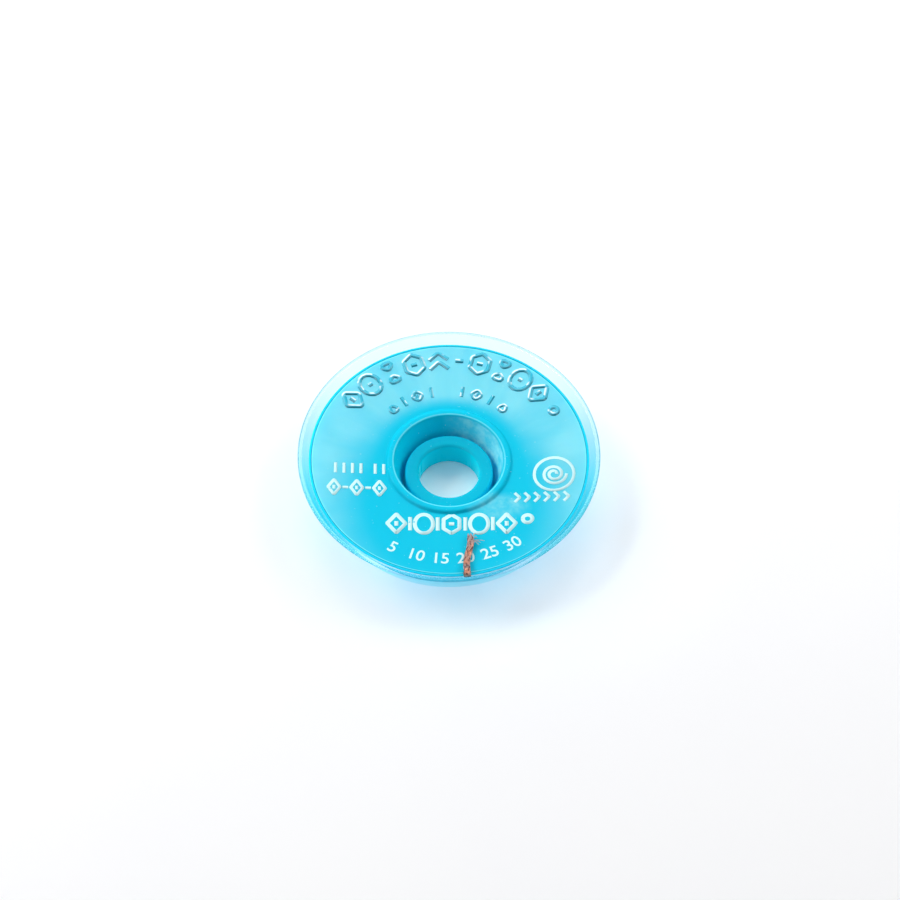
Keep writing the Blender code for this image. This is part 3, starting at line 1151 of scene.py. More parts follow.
class Motif(Enum):
    """The plain ornamental marks on the cover."""

    LOZENGE = "lozenge"
    TARGET = "target"
    HEXAGON = "hexagon"
    CHEVRONS = "chevrons"
    HOURGLASS = "hourglass"
    ARROW = "arrow"
    BAR = "bar"
    RING = "ring"
    POST = "post"
    TENT = "tent"

    def strokes(self) -> list[Stroke]:
        """The mark's lines in a unit square about its middle.

        Returns:
            The lines.
        """
        level = ((-0.5, 0.0), (0.5, 0.0))
        upright = ((0.0, -0.5), (0.0, 0.5))
        lines = {
            Motif.LOZENGE: [Stroke(around(4), True), Stroke(((0.0, -0.12), (0.0, 0.12)))],
            Motif.TARGET: [Stroke(around(16), True), Stroke(((-0.1, 0.0), (0.1, 0.0)))],
            Motif.HEXAGON: [Stroke(around(6), True), Stroke(((-0.14, 0.0), (0.14, 0.0)))],
            Motif.CHEVRONS: [
                Stroke(((-0.5, 0.05 + rise), (0.0, 0.45 + rise), (0.5, 0.05 + rise)))
                for rise in (0.0, -0.5)
            ],
            Motif.HOURGLASS: [
                Stroke(((-0.5, 0.5), (0.5, 0.5), (0.0, 0.16)), True),
                Stroke(((-0.5, -0.5), (0.5, -0.5), (0.0, -0.16)), True),
            ],
            Motif.ARROW: [Stroke(((-0.5, -0.5), (0.3, 0.0), (-0.5, 0.5)))],
            Motif.BAR: [Stroke(level)],
            Motif.RING: [Stroke(around(28), True)],
            Motif.POST: [Stroke(upright)],
            Motif.TENT: [Stroke(((-0.5, -0.4), (0.0, 0.5), (0.5, -0.4)), True)],
        }
        return lines[self]

    def placed(self, size: Point, middle: Point, turn: float = 0.0) -> list[Stroke]:
        """The mark's lines at a size and place on the cover, with a clockwise turn."""
        return [line.placed(size, middle, turn) for line in self.strokes()]


class StrokeTree:
    """Geometry tree that sweeps a section along strokes laid on the cover."""

    def __init__(self) -> None:
        """Builds the tree."""
        sockets = {
            "Half Width": 0.0003,
            "Rise": 0.0002,
            "Flat": False,
            "Corner": 0.0003,
            "Hub Radius": 0.01,
            "Hub Foot": 0.007,
            "Slope": 0.06,
        }
        graph, use, result = new_grower("strokes on the cover", sockets)
        curve = graph.out("GeometryNodeMeshToCurve", {0: use["Geometry"]})
        curve = graph.rounded(curve, 3, use["Corner"])
        x, y, _ = graph.split(graph.out("GeometryNodeInputPosition"))
        out = graph.minus(graph.vector("LENGTH", graph.xyz(x, y)), use["Hub Radius"])
        height = graph.scaled(out, use["Slope"], use["Hub Foot"])
        curve = graph.moved(curve, graph.xyz(x, y, height))
        curve = graph.out("GeometryNodeSetCurveNormal", {"Curve": curve}, mode="Z_UP")
        bead = graph.ring(14, 1.0)
        slab = graph.out("GeometryNodeCurvePrimitiveQuadrilateral", {"Width": 2.0, "Height": 2.0})
        either = {"Switch": use["Flat"], "False": bead, "True": slab}
        section = graph.out("GeometryNodeSwitch", either, input_type="GEOMETRY")
        shape = graph.xyz(use["Half Width"], use["Rise"], 1.0)
        section = graph.out("GeometryNodeTransform", {"Geometry": section, "Scale": shape})
        graph.end(result, graph.swept(curve, section), use["Material"])
        self.tree = graph.tree

    def swept(
        self,
        name: str,
        strokes: Sequence[Stroke],
        bobbin: Bobbin,
        section: tuple[float, float],
        material: Material,
        flat: bool = False,
        corner: float = 0.0004,
    ) -> Object:
        """Sweeps strokes on the cover.

        Args:
            name: The object's name.
            strokes: The lines.
            bobbin: The bobbin's sizes.
            section: Half the stroke's width, and how far it stands above the cover.
            material: Its material.
            flat: Whether the section is a thin slab and not a round bead.
            corner: Rounding of the strokes' corners.

        Returns:
            The object.
        """
        carrier = bpy.data.meshes.new(name)
        points: list[tuple[float, float, float]] = []
        edges: list[tuple[int, int]] = []
        for line in strokes:
            first = len(points)
            points += [(x, y, 0.0) for x, y in line.points]
            edges += [(index, index + 1) for index in range(first, len(points) - 1)]
            if line.closed:
                edges.append((len(points) - 1, first))
        carrier.from_pydata(points, edges, [])
        values = {
            "Half Width": section[0],
            "Rise": section[1],
            "Flat": flat,
            "Corner": corner,
            "Hub Radius": bobbin.hub_radius,
            "Hub Foot": bobbin.hub_foot,
            "Slope": bobbin.cover_slope,
            "Material": material,
        }
        return grown(name, carrier, self.tree, values)


@dataclass
class Dish:
    """The flared clear dish with its boss and the peg hole through it.

    Attributes:
        bobbin: The shared sizes.
        finish: Its plastic.
        boss_finish: The same plastic in the boss, where it is seen along its thickness.
        bore_radius: Radius of the peg hole.
        bore_rounding: Rounding of the hole's upper edge.
        boss_top: Height of the boss.
        boss_rounding: Rounding of the boss's outer edge.
    """

    bobbin: Bobbin
    finish: ClearPlastic = field(default_factory=ClearPlastic)
    boss_finish: TurquoisePlastic = TurquoisePlastic(
        name="turquoise_boss",
        body=(0.000, 0.450, 0.630),
        # The boss's own colours for its haze with painted light, its painted light down the well, and
        # its painted light on one side of the well.
        haze_and_light=(0.020, 0.510, 0.680),
        well=(0.002, 0.490, 0.650),
        well_light=(0.080, 0.620, 0.800),
        polish=0.24,
        lamp_tint=(0.03, 0.40, 0.56),
    )
    bore_radius: float = 0.0048
    bore_rounding: float = 0.0006
    boss_top: float = 0.0043
    boss_rounding: float = 0.0004

    def build(self, groups: SurfaceGroups) -> Object:
        """Turns the dish and dresses it.

        Args:
            groups: The shared shader groups.

        Returns:
            The dish.
        """
        size = self.bobbin
        middle_radius = size.boss_radius + size.gap + size.sleeve_wall
        corners = (
            (size.outside_wall(size.dish_height), size.dish_height, size.rim_rounding),
            (size.outside_wall(0.0), 0.0, size.base_rounding),
            (middle_radius, 0.0, 0.0),
            (self.bore_radius, 0.0, size.rim_rounding),
            (self.bore_radius, self.boss_top, self.bore_rounding),
            (size.boss_radius, self.boss_top, self.boss_rounding),
            (size.boss_radius, size.dish_wall, size.rim_rounding),
            (middle_radius, size.dish_wall, 0.0),
            (size.inside_wall(size.dish_wall), size.dish_wall, size.base_rounding),
            (size.inside_wall(size.dish_height), size.dish_height, size.rim_rounding),
        )
        dish = Lathe().turned("clear_dish", corners)
        dish.data.materials.append(self.finish.material(groups))
        dish.data.materials.append(self.boss_finish.material(groups))
        for face in dish.data.polygons:
            if face.center.xy.length < middle_radius:
                face.material_index = 1
        note_slant(dish.data)
        return dressed(dish, "back_shell")


@dataclass
class Cover:
    """The cover: disc, hub ring, well and sleeve, with its raised and printed marks.

    Attributes:
        bobbin: The shared sizes.
        finish: Its plastic.
        relief_finish: The same plastic on the raised marks.
        ink: Its print.
        rounding: Rounding of the disc's edges.
        hub_slope: How far the hub ring leans in.
        well_rounding: Rounding of the hub ring.
        sleeve_rounding: Rounding of the sleeve's foot.
        lip: Width of the fine step round the disc's edge.
        lip_depth: Depth of that step.
        braid_width: Width of the braid that the notch lets out.
        braid_thickness: Thickness of that braid.
        notch_turn: Anticlockwise place of the notch round from the front.
        notch_room: Room that it leaves on each side of the braid.
        relief: Half the width of the large raised strokes, and their height.
        small_relief: The same of the small raised strokes.
        row_radii: Radius of the rows of large and of small raised marks.
        print_rise: How far the ink stands above the cover.
        print_halves: Half the width of the fine and of the bold printed strokes.
        print_corner: Rounding of their corners.
        spiral_radii: First and last radius of the printed spiral.
        spiral_turns: How often it goes round.
        scale: The printed numbers.
        number_turns: The first number's place, anticlockwise from the front, and the step
            to the next, in degrees.
        number_radius: Distance of the numbers from the axis.
        number_height: Their height.
        number_weight: How much bolder than the plain font they are.
        sharp_from: Angle from which the cover's edges are sharp.
    """

    bobbin: Bobbin
    finish: TurquoisePlastic = field(default_factory=TurquoisePlastic)
    relief_finish: RaisedPlastic = field(default_factory=RaisedPlastic)
    ink: WhiteInk = field(default_factory=WhiteInk)
    rounding: float = 0.0003
    hub_slope: float = 0.0004
    well_rounding: float = 0.0005
    sleeve_rounding: float = 0.0002
    lip: float = 0.00055
    lip_depth: float = 0.00006
    braid_width: float = 0.0010
    braid_thickness: float = 0.00035
    notch_turn: float = math.radians(7.5)
    notch_room: float = 0.00012
    relief: tuple[float, float] = (0.00036, 0.00022)
    small_relief: tuple[float, float] = (0.00029, 0.00018)
    row_radii: tuple[float, float] = (19.2 * MM, 13.5 * MM)
    print_rise: float = 0.00002
    print_halves: tuple[float, float] = (0.00024, 0.00031)
    print_corner: float = 0.0001
    spiral_radii: tuple[float, float] = (0.4 * MM, 2.0 * MM)
    spiral_turns: float = 2.0
    scale: tuple[int, ...] = (5, 10, 15, 20, 25, 30)
    number_turns: tuple[float, float] = (-28.0, 12.0)
    number_radius: float = 18.9 * MM
    number_height: float = 2.9 * MM
    number_weight: float = 0.03 * MM
    sharp_from: float = math.radians(35.0)

    def disc(self) -> Object:
        """Turns the cover's body.

        Returns:
            The plain cover, without its marks.
        """
        size = self.bobbin
        underside = size.hub_foot - size.cover_wall
        edge_foot = size.edge_top - size.cover_wall
        sleeve_bore = size.boss_radius + size.gap
        lip_radius = size.cover_radius - self.lip
        corners = (
            (size.cover_radius, size.edge_top, self.rounding),
            (size.inside_wall(edge_foot, size.gap), edge_foot, self.rounding),
            (size.sleeve_outside(underside), underside, self.sleeve_rounding),
            (sleeve_bore + size.sleeve_wall, size.winding_foot, self.sleeve_rounding),
            (sleeve_bore, size.winding_foot, self.sleeve_rounding),
            (size.well_radius, size.hub_top, self.well_rounding),
            (size.hub_radius - self.hub_slope, size.hub_top, self.well_rounding),
            (size.hub_radius, size.hub_foot, self.rounding),
            (lip_radius - self.lip_depth, size.cover_top(lip_radius), self.lip_depth),
            (lip_radius, size.cover_top(lip_radius) - self.lip_depth, self.lip_depth),
            (lip_radius + 2 * self.lip_depth, size.cover_top(lip_radius), self.lip_depth),
        )
        return Lathe().turned("turquoise_cover", corners)

    def notch(self) -> Object:
        """Makes the cutter of the notch that lets the braid out past the cover's edge.

        Returns:
            The cutter.
        """
        size = self.bobbin
        width = self.braid_width + 2 * self.notch_room
        depth = self.braid_thickness + 2 * size.gap
        past = size.dish_wall / 2
        height = size.edge_top - size.cover_wall / 2
        middle = size.inside_wall(height, (depth - past) / 2)
        bm = bmesh.new()
        bmesh.ops.create_cube(bm, size=1.0)
        bmesh.ops.scale(bm, verts=bm.verts, vec=(width, depth + past, 3 * size.cover_wall))
        turn = Matrix.Rotation(self.notch_turn, 4, "Z")
        lean = Matrix.Rotation(size.wall_lean, 4, "X")
        place = turn @ Matrix.Translation((0.0, -middle, height)) @ lean
        bmesh.ops.transform(bm, verts=bm.verts, matrix=place)
        return finished_object("notch_cutter", bm)

    def raised_strokes(self) -> tuple[list[Stroke], list[Stroke]]:
        """The strokes of the large and the small raised marks round the back.

        Returns:
            The large ones and the small ones.
        """
        row = (
            (Motif.LOZENGE, -53.0, 3.1, 4.0),
            (Motif.TARGET, -41.0, 3.3, 3.9),
            (Motif.HOURGLASS, -29.0, 2.9, 3.7),
            (Motif.HEXAGON, -17.0, 3.4, 3.9),
            (Motif.CHEVRONS, -5.0, 3.0, 3.4),
            (Motif.BAR, 5.0, 1.3, 1.0),
            (Motif.HEXAGON, 15.0, 3.4, 3.9),
            (Motif.HOURGLASS, 26.0, 2.7, 3.7),
            (Motif.TARGET, 36.5, 3.3, 3.9),
            (Motif.LOZENGE, 48.0, 3.1, 4.0),
            (Motif.RING, 60.5, 1.3, 1.3),
        )
        inner_row = (
            (Motif.TENT, -41.5, 1.7, 1.9),
            (Motif.POST, -32.0, 1.0, 1.8),
            (Motif.LOZENGE, -22.0, 1.8, 2.0),
            (Motif.POST, -12.0, 1.0, 1.8),
            (Motif.POST, 9.0, 1.0, 1.8),
            (Motif.LOZENGE, 19.0, 1.8, 2.0),
            (Motif.POST, 29.5, 1.0, 1.8),
            (Motif.TENT, 40.0, 1.7, 1.9),
        )
        return self.marks(row, self.row_radii[0]), self.marks(inner_row, self.row_radii[1])

    def marks(
        self, row: Sequence[tuple[Motif, float, float, float]], radius: float
    ) -> list[Stroke]:
        """Places a row of marks round the cover.

        Args:
            row: Each mark's motif, its degrees clockwise from the back, and its width and
                height in millimetres.
            radius: Distance of their middles from the axis.

        Returns:
            Their strokes.
        """
        strokes: list[Stroke] = []
        for motif, degrees, width, height in row:
            turn = math.radians(degrees)
            middle = (radius * math.sin(turn), radius * math.cos(turn))
            strokes += motif.placed((width * MM, height * MM), middle, turn)
        return strokes

    def band(self) -> list[Stroke]:
        """The bold row of marks in front of the hub, with a small ring at its end.

        Returns:
            Its strokes.
        """
        row = (Motif.LOZENGE, Motif.RING, Motif.HEXAGON, Motif.RING, Motif.LOZENGE)
        first, spacing, level = -8.3, 4.35, -12.0
        strokes = self.flat_mark(Motif.RING, 12.4, -11.2, 1.5, 1.5)
        for index, motif in enumerate(row):
            middle = first + spacing * index
            strokes += self.flat_mark(motif, middle, level, 2.9, 3.7)
            if index > 0:
                strokes += self.flat_mark(Motif.POST, middle - spacing / 2, level, 1.0, 2.6)
        return strokes

    def printed_strokes(self) -> list[Stroke]:
        """The finer strokes of the printed marks at the sides.

        Returns:
            The strokes.
        """
        post_gaps = (0.0, 0.0, 0.0, 0.0, 0.9, 0.9)
        target = (16.65, -2.65)
        posts = [(Motif.POST, -18.0 + 1.35 * i + gap, -1.45, 1.0, 1.9)
                 for i, gap in enumerate(post_gaps)]
        lozenges = [(Motif.LOZENGE, -18.2 + 3.6 * i, -5.2, 1.9, 2.9) for i in range(3)]
        bars = [(Motif.BAR, -16.4 + 3.6 * i, -5.2, 0.9, 1.0) for i in range(2)]
        rows = [*posts, *lozenges, *bars, (Motif.RING, *target, 6.3, 6.3)]
        strokes = [stroke for mark in rows for stroke in self.flat_mark(*mark)]
        middle = (target[0] * MM, target[1] * MM)
        strokes.append(self.spiral(middle, *self.spiral_radii, self.spiral_turns))
        for i in range(6):
            strokes += self.flat_mark(Motif.ARROW, 10.9 + 1.55 * i, -7.0, 1.0, 1.8)
        return strokes

    def flat_mark(
        self, motif: Motif, across: float, up: float, width: float, height: float
    ) -> list[Stroke]:
        """Places an upright mark on the cover. All its sizes are in millimetres."""
        return motif.placed((width * MM, height * MM), (across * MM, up * MM))

    def spiral(self, middle: Point, start: float, end: float, turns: float) -> Stroke:
        """Draws a spiral.

        Args:
            middle: Its middle.
            start: Its first radius.
            end: Its last radius.
            turns: How often it goes round.

        Returns:
            The stroke.
        """
        count = round(20 * turns)
        points = []
        for step in range(count + 1):
            share = step / count
            turn = math.tau * turns * share
            radius = start + (end - start) * share
            points.append((middle[0] + radius * math.cos(turn), middle[1] + radius * math.sin(turn)))
        return Stroke(tuple(points))

    def numbers(self) -> Object:
        """Makes the worn scale of plain numbers round the front, as thin slabs of ink.

        Returns:
            The numbers.
        """
        size = self.bobbin
        merged = bmesh.new()
        first, spacing = self.number_turns
        for index, value in enumerate(self.scale):
            turn = math.radians(first + spacing * index)
            words = bpy.data.curves.new("number", "FONT")
            words.body = str(value)
            words.size = self.number_height
            words.align_x = "CENTER"
            words.align_y = "CENTER"
            words.resolution_u = 4
            words.offset = self.number_weight
            source = bpy.data.objects.new("number", words)
            bpy.context.scene.collection.objects.link(source)
            flat = evaluated(source)
            spin = Matrix.Rotation(turn, 4, "Z") @ Matrix.Translation((0.0, -self.number_radius, 0.0))
            flat.transform(spin)
            merged.from_mesh(flat)
            bpy.data.objects.remove(source)
            bpy.data.meshes.remove(flat)
        bmesh.ops.remove_doubles(merged, verts=merged.verts, dist=0.000001)
        for vert in merged.verts:
            radius = math.hypot(vert.co.x, vert.co.y)
            vert.co.z = size.cover_top(radius) + self.print_rise
        thick = bmesh.ops.extrude_face_region(merged, geom=list(merged.faces))
        lowered = [item for item in thick["geom"] if isinstance(item, bmesh.types.BMVert)]
        bmesh.ops.translate(merged, verts=lowered, vec=(0.0, 0.0, -2 * self.print_rise))
        return finished_object("cover_numbers", merged)

    def build(self, groups: SurfaceGroups, strokes: StrokeTree) -> list[Object]:
        """Builds the cover and its print.

        Args:
            groups: The shared shader groups.
            strokes: The tree that sweeps strokes.

        Returns:
            The cover and its print.
        """
        glossy = self.relief_finish.material(groups)
        large, small = self.raised_strokes()
        raised = [
            strokes.swept("large_relief", large, self.bobbin, self.relief, glossy),
            strokes.swept("small_relief", small, self.bobbin, self.small_relief, glossy),
        ]
        cover = self.disc()
        cover.data.materials.append(self.finish.material(groups))
        for tool, operation in ((self.notch(), "DIFFERENCE"), *((r, "UNION") for r in raised)):
            cut = cover.modifiers.new(tool.name, "BOOLEAN")
            cut.operation = operation
            cut.solver = "EXACT"
            cut.material_mode = "TRANSFER"
            cut.object = tool
            cover.data = evaluated(cover)
            bpy.data.objects.remove(tool)
        cover.data.shade_smooth()
        cover.data.set_sharp_from_angle(angle=self.sharp_from)
        note_slant(cover.data)
        dressed(cover, "cover_disc")

        ink = self.ink.material(groups)
        printed = [self.numbers()]
        printed[0].data.materials.append(ink)
        rows = {"cover_print": self.printed_strokes(), "cover_band": self.band()}
        for (name, lines), half_width in zip(rows.items(), self.print_halves):
            section = (half_width, self.print_rise)
            printed.append(
                strokes.swept(name, lines, self.bobbin, section, ink, True, self.print_corner)
            )
        return [cover, *(dressed(piece, None) for piece in printed)]


class WindingTree:
    """Geometry tree that winds a flat tape to and fro over a sleeve, layer on layer."""

    def __init__(self) -> None:
        """Builds the tree."""
        sockets = {
            "Turns": 20.0,
            "Rows": 4.0,
            "Layers": 6.0,
            "Samples": 2000,
            "Foot": 0.001,
            "Top": 0.005,
            "Inner Foot": 0.009,
            "Inner Top": 0.009,
            "Outer": 0.011,
            "Last Turn": 0.0,
            "Width": 0.001,
            "Thickness": 0.0003,
            "Wander": 0.00003,
        }
        rounding, waves, step_start = 0.4, 2.3, 0.90
        graph, use, result = new_grower("winding", sockets)
        line = graph.line(use["Samples"])
        share = graph.node("GeometryNodeSplineParameter").outputs["Factor"]
        turns = graph.times(share, use["Turns"])
        layers = graph.ratio(turns, use["Rows"])
        layer = graph.math("FLOOR", layers)
        along = graph.math("FRACT", layers)
        rising = graph.math("PINGPONG", layers, 1.0)
        wander = graph.minus(graph.noise(graph.xyz(turns), waves), 0.5)
        room = graph.minus(graph.minus(use["Top"], use["Foot"]), use["Width"])
        lowest = graph.scaled(use["Width"], 0.5, use["Foot"])
        height = graph.scaled(rising, room, lowest)
        foot, top = use["Foot"], use["Top"]
        inner = graph.remap(height, foot, top, use["Inner Foot"], use["Inner Top"], "LINEAR")
        build_up = graph.minus(graph.minus(use["Outer"], inner), use["Thickness"])
        pitch = graph.ratio(build_up, graph.minus(use["Layers"], 1.0))
        step_up = graph.plus(layer, graph.remap(along, step_start, 1.0))
        radius = graph.scaled(step_up, pitch, inner)
        radius = graph.scaled(use["Thickness"], 0.5, radius)
        radius = graph.scaled(wander, use["Wander"], radius)
        behind = graph.minus(turns, use["Turns"])
        angle = graph.scaled(behind, math.tau, use["Last Turn"])
        across = graph.times(radius, graph.math("COSINE", angle))
        inwards = graph.times(radius, graph.math("SINE", angle))
        wound = graph.moved(line, graph.xyz(across, inwards, height))
        wound = graph.out("GeometryNodeSetCurveNormal", {"Curve": wound}, mode="Z_UP")
        length = graph.node("GeometryNodeSplineParameter").outputs["Length"]
        wound = graph.noted(wound, "along", length)
        sides = {"Width": use["Thickness"], "Height": use["Width"]}
        section = graph.out("GeometryNodeCurvePrimitiveQuadrilateral", sides)
        section = graph.rounded(section, 2, graph.times(use["Thickness"], rounding))
        spot = graph.out("GeometryNodeInputPosition")
        section = graph.noted(section, "across", graph.split(spot)[1])
        swept = graph.swept(wound, section)
        smooth = graph.out("GeometryNodeSetShadeSmooth", {"Geometry": swept})
        graph.end(result, smooth, use["Material"])
        self.tree = graph.tree


@dataclass
class Coil:
    """The braid wound on the cover's sleeve, as one flat tape.

    Attributes:
        bobbin: The shared sizes.
        length: Length of the wound braid.
        width: Its width.
        thickness: Its thickness where it is pulled tight.
        layers: Layers of turns, one over another.
        samples: Points along it for each turn.
        last_turn: Where its outer end lies, anticlockwise from the right.
        spare_turn: Share of a turn that each layer has to spare, so that no new layer starts.
    """

    bobbin: Bobbin
    length: float = 1.5
    width: float = 0.0010
    thickness: float = 0.0003
    layers: int = 6
    samples: int = 72
    last_turn: float = math.radians(205.8)
    spare_turn: float = 0.02

    def build(self, groups: SurfaceGroups) -> Object:
        """Winds the tape and dresses it.

        Args:
            groups: The shared shader groups.

        Returns:
            The coil.
        """
        size = self.bobbin
        low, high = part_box("braid_coil")
        outer = (high.x - low.x) / 2
        inner_foot = size.sleeve_outside(low.z) + size.gap
        inner_top = size.sleeve_outside(high.z) + size.gap
        middle = (inner_foot + inner_top) / 4 + outer / 2
        turns = self.length / (math.tau * middle)
        values = {
            "Turns": turns,
            "Rows": turns / self.layers + self.spare_turn,
            "Layers": float(self.layers),
            "Samples": round(turns * self.samples),
            "Foot": low.z,
            "Top": high.z,
            "Inner Foot": inner_foot,
            "Inner Top": inner_top,
            "Outer": outer,
            "Last Turn": self.last_turn,
            "Width": self.width,
            "Thickness": self.thickness,
            "Material": CopperBraid(woven=True).material(groups),
        }
        coil = grown("wound_braid", bpy.data.meshes.new("winding"), WindingTree().tree, values)
        return dressed(coil, "braid_coil")


class BraidTree:
    """Geometry tree that plaits round wires into a flat braid along a guide line."""

    def __init__(self) -> None:
        """Builds the tree."""
        sockets = {
            "Strands": 3,
            "Wires": 4,
            "Samples": 400,
            "Width": 0.001,
            "Thickness": 0.00035,
            "Wire Radius": 0.00005,
            "Lay": 0.0064,
            "Wander": 0.00006,
            "Frayed": 0.0012,
            "Hairs": 7,
            "Hair Length": 0.0020,
            "Seed": 3,
        }
        self.graph, self.use, result = new_grower("flat braid", sockets)
        graph, use = self.graph, self.use
        self.guide = graph.out("GeometryNodeMeshToCurve", {0: use["Geometry"]})
        self.length = graph.out("GeometryNodeCurveLength", {0: self.guide})
        joined = graph.node("GeometryNodeJoinGeometry").inputs[0]
        for part in (self.hairs(), self.wires()):
            graph.tree.links.new(part, joined)
        smooth = graph.out("GeometryNodeSetShadeSmooth", {"Geometry": joined.node.outputs[0]})
        graph.end(result, smooth, use["Material"])
        self.tree = graph.tree

    def random(self, index: object, low: float, high: float, offset: int) -> Socket:
        """Adds a random number for each wire.

        Args:
            index: The wire's number.
            low: The least that it can be.
            high: The most that it can be.
            offset: Tells this number from the tree's others.

        Returns:
            The number's socket.
        """
        seed = self.graph.plus(self.use["Seed"], float(offset))
        inputs = {"Min": low, "Max": high, "ID": index, "Seed": seed}
        return self.graph.node("FunctionNodeRandomValue", inputs, data_type="FLOAT").outputs[1]

    def lines(self, count: object, samples: object) -> tuple[Socket, ...]:
        """Adds a bunch of plain lines to be bent into wires.

        Args:
            count: How many there are.
            samples: How many points each has.

        Returns:
            The lines, each one's number, and the share along them.
        """
        graph = self.graph
        inputs = {"Geometry": graph.line(samples), "Amount": count}
        copies = graph.node("GeometryNodeDuplicateElements", inputs, domain="SPLINE")
        share = graph.node("GeometryNodeSplineParameter").outputs["Factor"]
        return copies.outputs[0], copies.outputs[1], share

    def on_guide(self, share: object) -> tuple[Socket, ...]:
        """Reads the guide line at a share of its length.

        Args:
            share: The share.

        Returns:
            The point there, and the ways across, along and out of the braid's face.
        """
        graph = self.graph
        kind = "FLOAT_VECTOR"
        face = graph.out("GeometryNodeInputNamedAttribute", {"Name": "face"}, data_type=kind)
        inputs = {"Curves": self.guide, "Value": face, "Factor": share}
        spot = graph.node("GeometryNodeSampleCurve", inputs, mode="FACTOR", data_type=kind)
        ahead = spot.outputs["Tangent"]
        across = graph.vector("NORMALIZE", graph.vector("CROSS_PRODUCT", ahead, spot.outputs[0]))
        out = graph.vector("CROSS_PRODUCT", across, ahead)
        return spot.outputs["Position"], across, ahead, out

    def tube(self, lines: object, place: object, shade: object, girth: float) -> Socket:
        """Bends lines into place and gives them a round section.

        Args:
            lines: The lines.
            place: Where each of their points goes.
            shade: How dark the copper is at each point, from painted shade and from a random darkness
                of each wire.
            girth: Radius, as a share of a wire's.

        Returns:
            The wires.
        """
        graph = self.graph
        bent = graph.noted(graph.moved(lines, place), "shade", shade)
        radius = graph.times(self.use["Wire Radius"], girth)
        return graph.swept(bent, graph.ring(5, radius))

    def wires(self) -> Socket:
        """Adds the plaited wires, which go round a flattened tube both ways.

        Returns:
            The wires.
        """
        cut_short, wire_step, squareness, crossing = 0.030, 0.19, 2.6, 1.2
        side_room, face_room, side_wander = 0.00005, 0.00010, 2.2
        side_noise, face_noise, strand_gap = 900.0, 1300.0, 0.004
        splay_left, splay_right, splay_up = -0.00035, 0.00030, 0.00022
        graph, use = self.graph, self.use
        both_ways = graph.times(use["Strands"], 2.0)
        count = graph.times(both_ways, use["Wires"])
        lines, index, share = self.lines(count, use["Samples"])
        short = self.random(index, 0.0, cut_short, 1)
        share = graph.times(share, graph.minus(1.0, short))
        point, across, _, out = self.on_guide(share)
        way = graph.scaled(graph.math("MODULO", index, 2.0), 2.0, -1.0)
        wire = graph.math("FLOOR", graph.ratio(index, both_ways))
        strand = graph.math("FLOOR", graph.times(graph.math("MODULO", index, both_ways), 0.5))
        strand = graph.scaled(wire, wire_step, strand)
        run = graph.times(share, self.length)
        advance = graph.times(graph.ratio(run, use["Lay"]), math.tau)
        start = graph.times(graph.ratio(strand, use["Strands"]), math.tau)
        angle = graph.scaled(way, advance, start)
        level = graph.math("ARCSINE", graph.math("COSINE", angle))
        level = graph.ratio(level, math.pi / 2)
        side = graph.times(graph.math("SINE", angle), squareness)
        side = graph.math("MAXIMUM", graph.math("MINIMUM", side, 1.0), -1.0)
        beat = graph.math("COSINE", graph.times(advance, use["Strands"]))
        over = graph.times(beat, way)
        weave = graph.times(over, graph.times(use["Wire Radius"], crossing))
        half_width = graph.scaled(use["Width"], 0.5, -side_room)
        half_depth = graph.scaled(use["Thickness"], 0.5, -face_room)
        sideways = graph.times(level, half_width)
        outward = graph.times(side, graph.plus(half_depth, weave))

        left = graph.minus(self.length, run)
        loose = graph.remap(left, use["Frayed"], 0.0)
        trail = graph.xyz(run, graph.times(strand, strand_gap))
        stray = graph.minus(graph.noise(trail, side_noise, 1.0), 0.5)
        sideways = graph.scaled(stray, graph.times(use["Wander"], side_wander), sideways)
        stray = graph.minus(graph.noise(trail, face_noise, 1.0), 0.5)
        outward = graph.scaled(stray, use["Wander"], outward)
        splay = graph.times(loose, self.random(index, splay_left, splay_right, 2))
        lift = graph.times(loose, self.random(index, 0.0, splay_up, 3))
        sideways = graph.plus(sideways, splay)
        outward = graph.plus(outward, lift)
        place = graph.shifted(point, across, sideways)
        place = graph.shifted(place, out, outward)
        # Painted shade where a wire dips under the wires that cross it, with a random darkness for
        # each wire.
        under_shade = graph.remap(over, 0.35, -0.75, 0.0, 0.75)
        shade = graph.plus(under_shade, self.random(index, 0.0, 0.45, 11))
        return self.tube(lines, place, shade, 1.0)

    def hairs(self) -> Socket:
        """Adds loose hairs of wire that stray from the frayed end.

        Returns:
            The hairs.
        """
        samples, curl_reach, arch, start, girth = 14, 0.00022, 0.00025, 0.00030, 0.6
        graph, use = self.graph, self.use
        lines, index, share = self.lines(use["Hairs"], samples)
        point, across, ahead, out = self.on_guide(self.random(index, 0.935, 0.975, 4))
        reach = graph.times(use["Hair Length"], self.random(index, 0.35, 1.0, 5))
        run = graph.times(share, reach)
        sideways = graph.times(run, self.random(index, 0.55, 0.95, 6))
        forward = graph.times(run, self.random(index, -0.35, 0.9, 7))
        curl = graph.math("SINE", graph.times(share, self.random(index, 2.0, 5.5, 8)))
        forward = graph.scaled(curl, curl_reach, forward)
        lift = graph.times(graph.math("SINE", graph.times(share, math.pi)), arch)
        sideways = graph.plus(sideways, start)
        place = graph.shifted(point, across, sideways)
        place = graph.shifted(place, ahead, forward)
        place = graph.shifted(place, out, lift)
        return self.tube(lines, place, self.random(index, 0.0, 0.6, 12), girth)


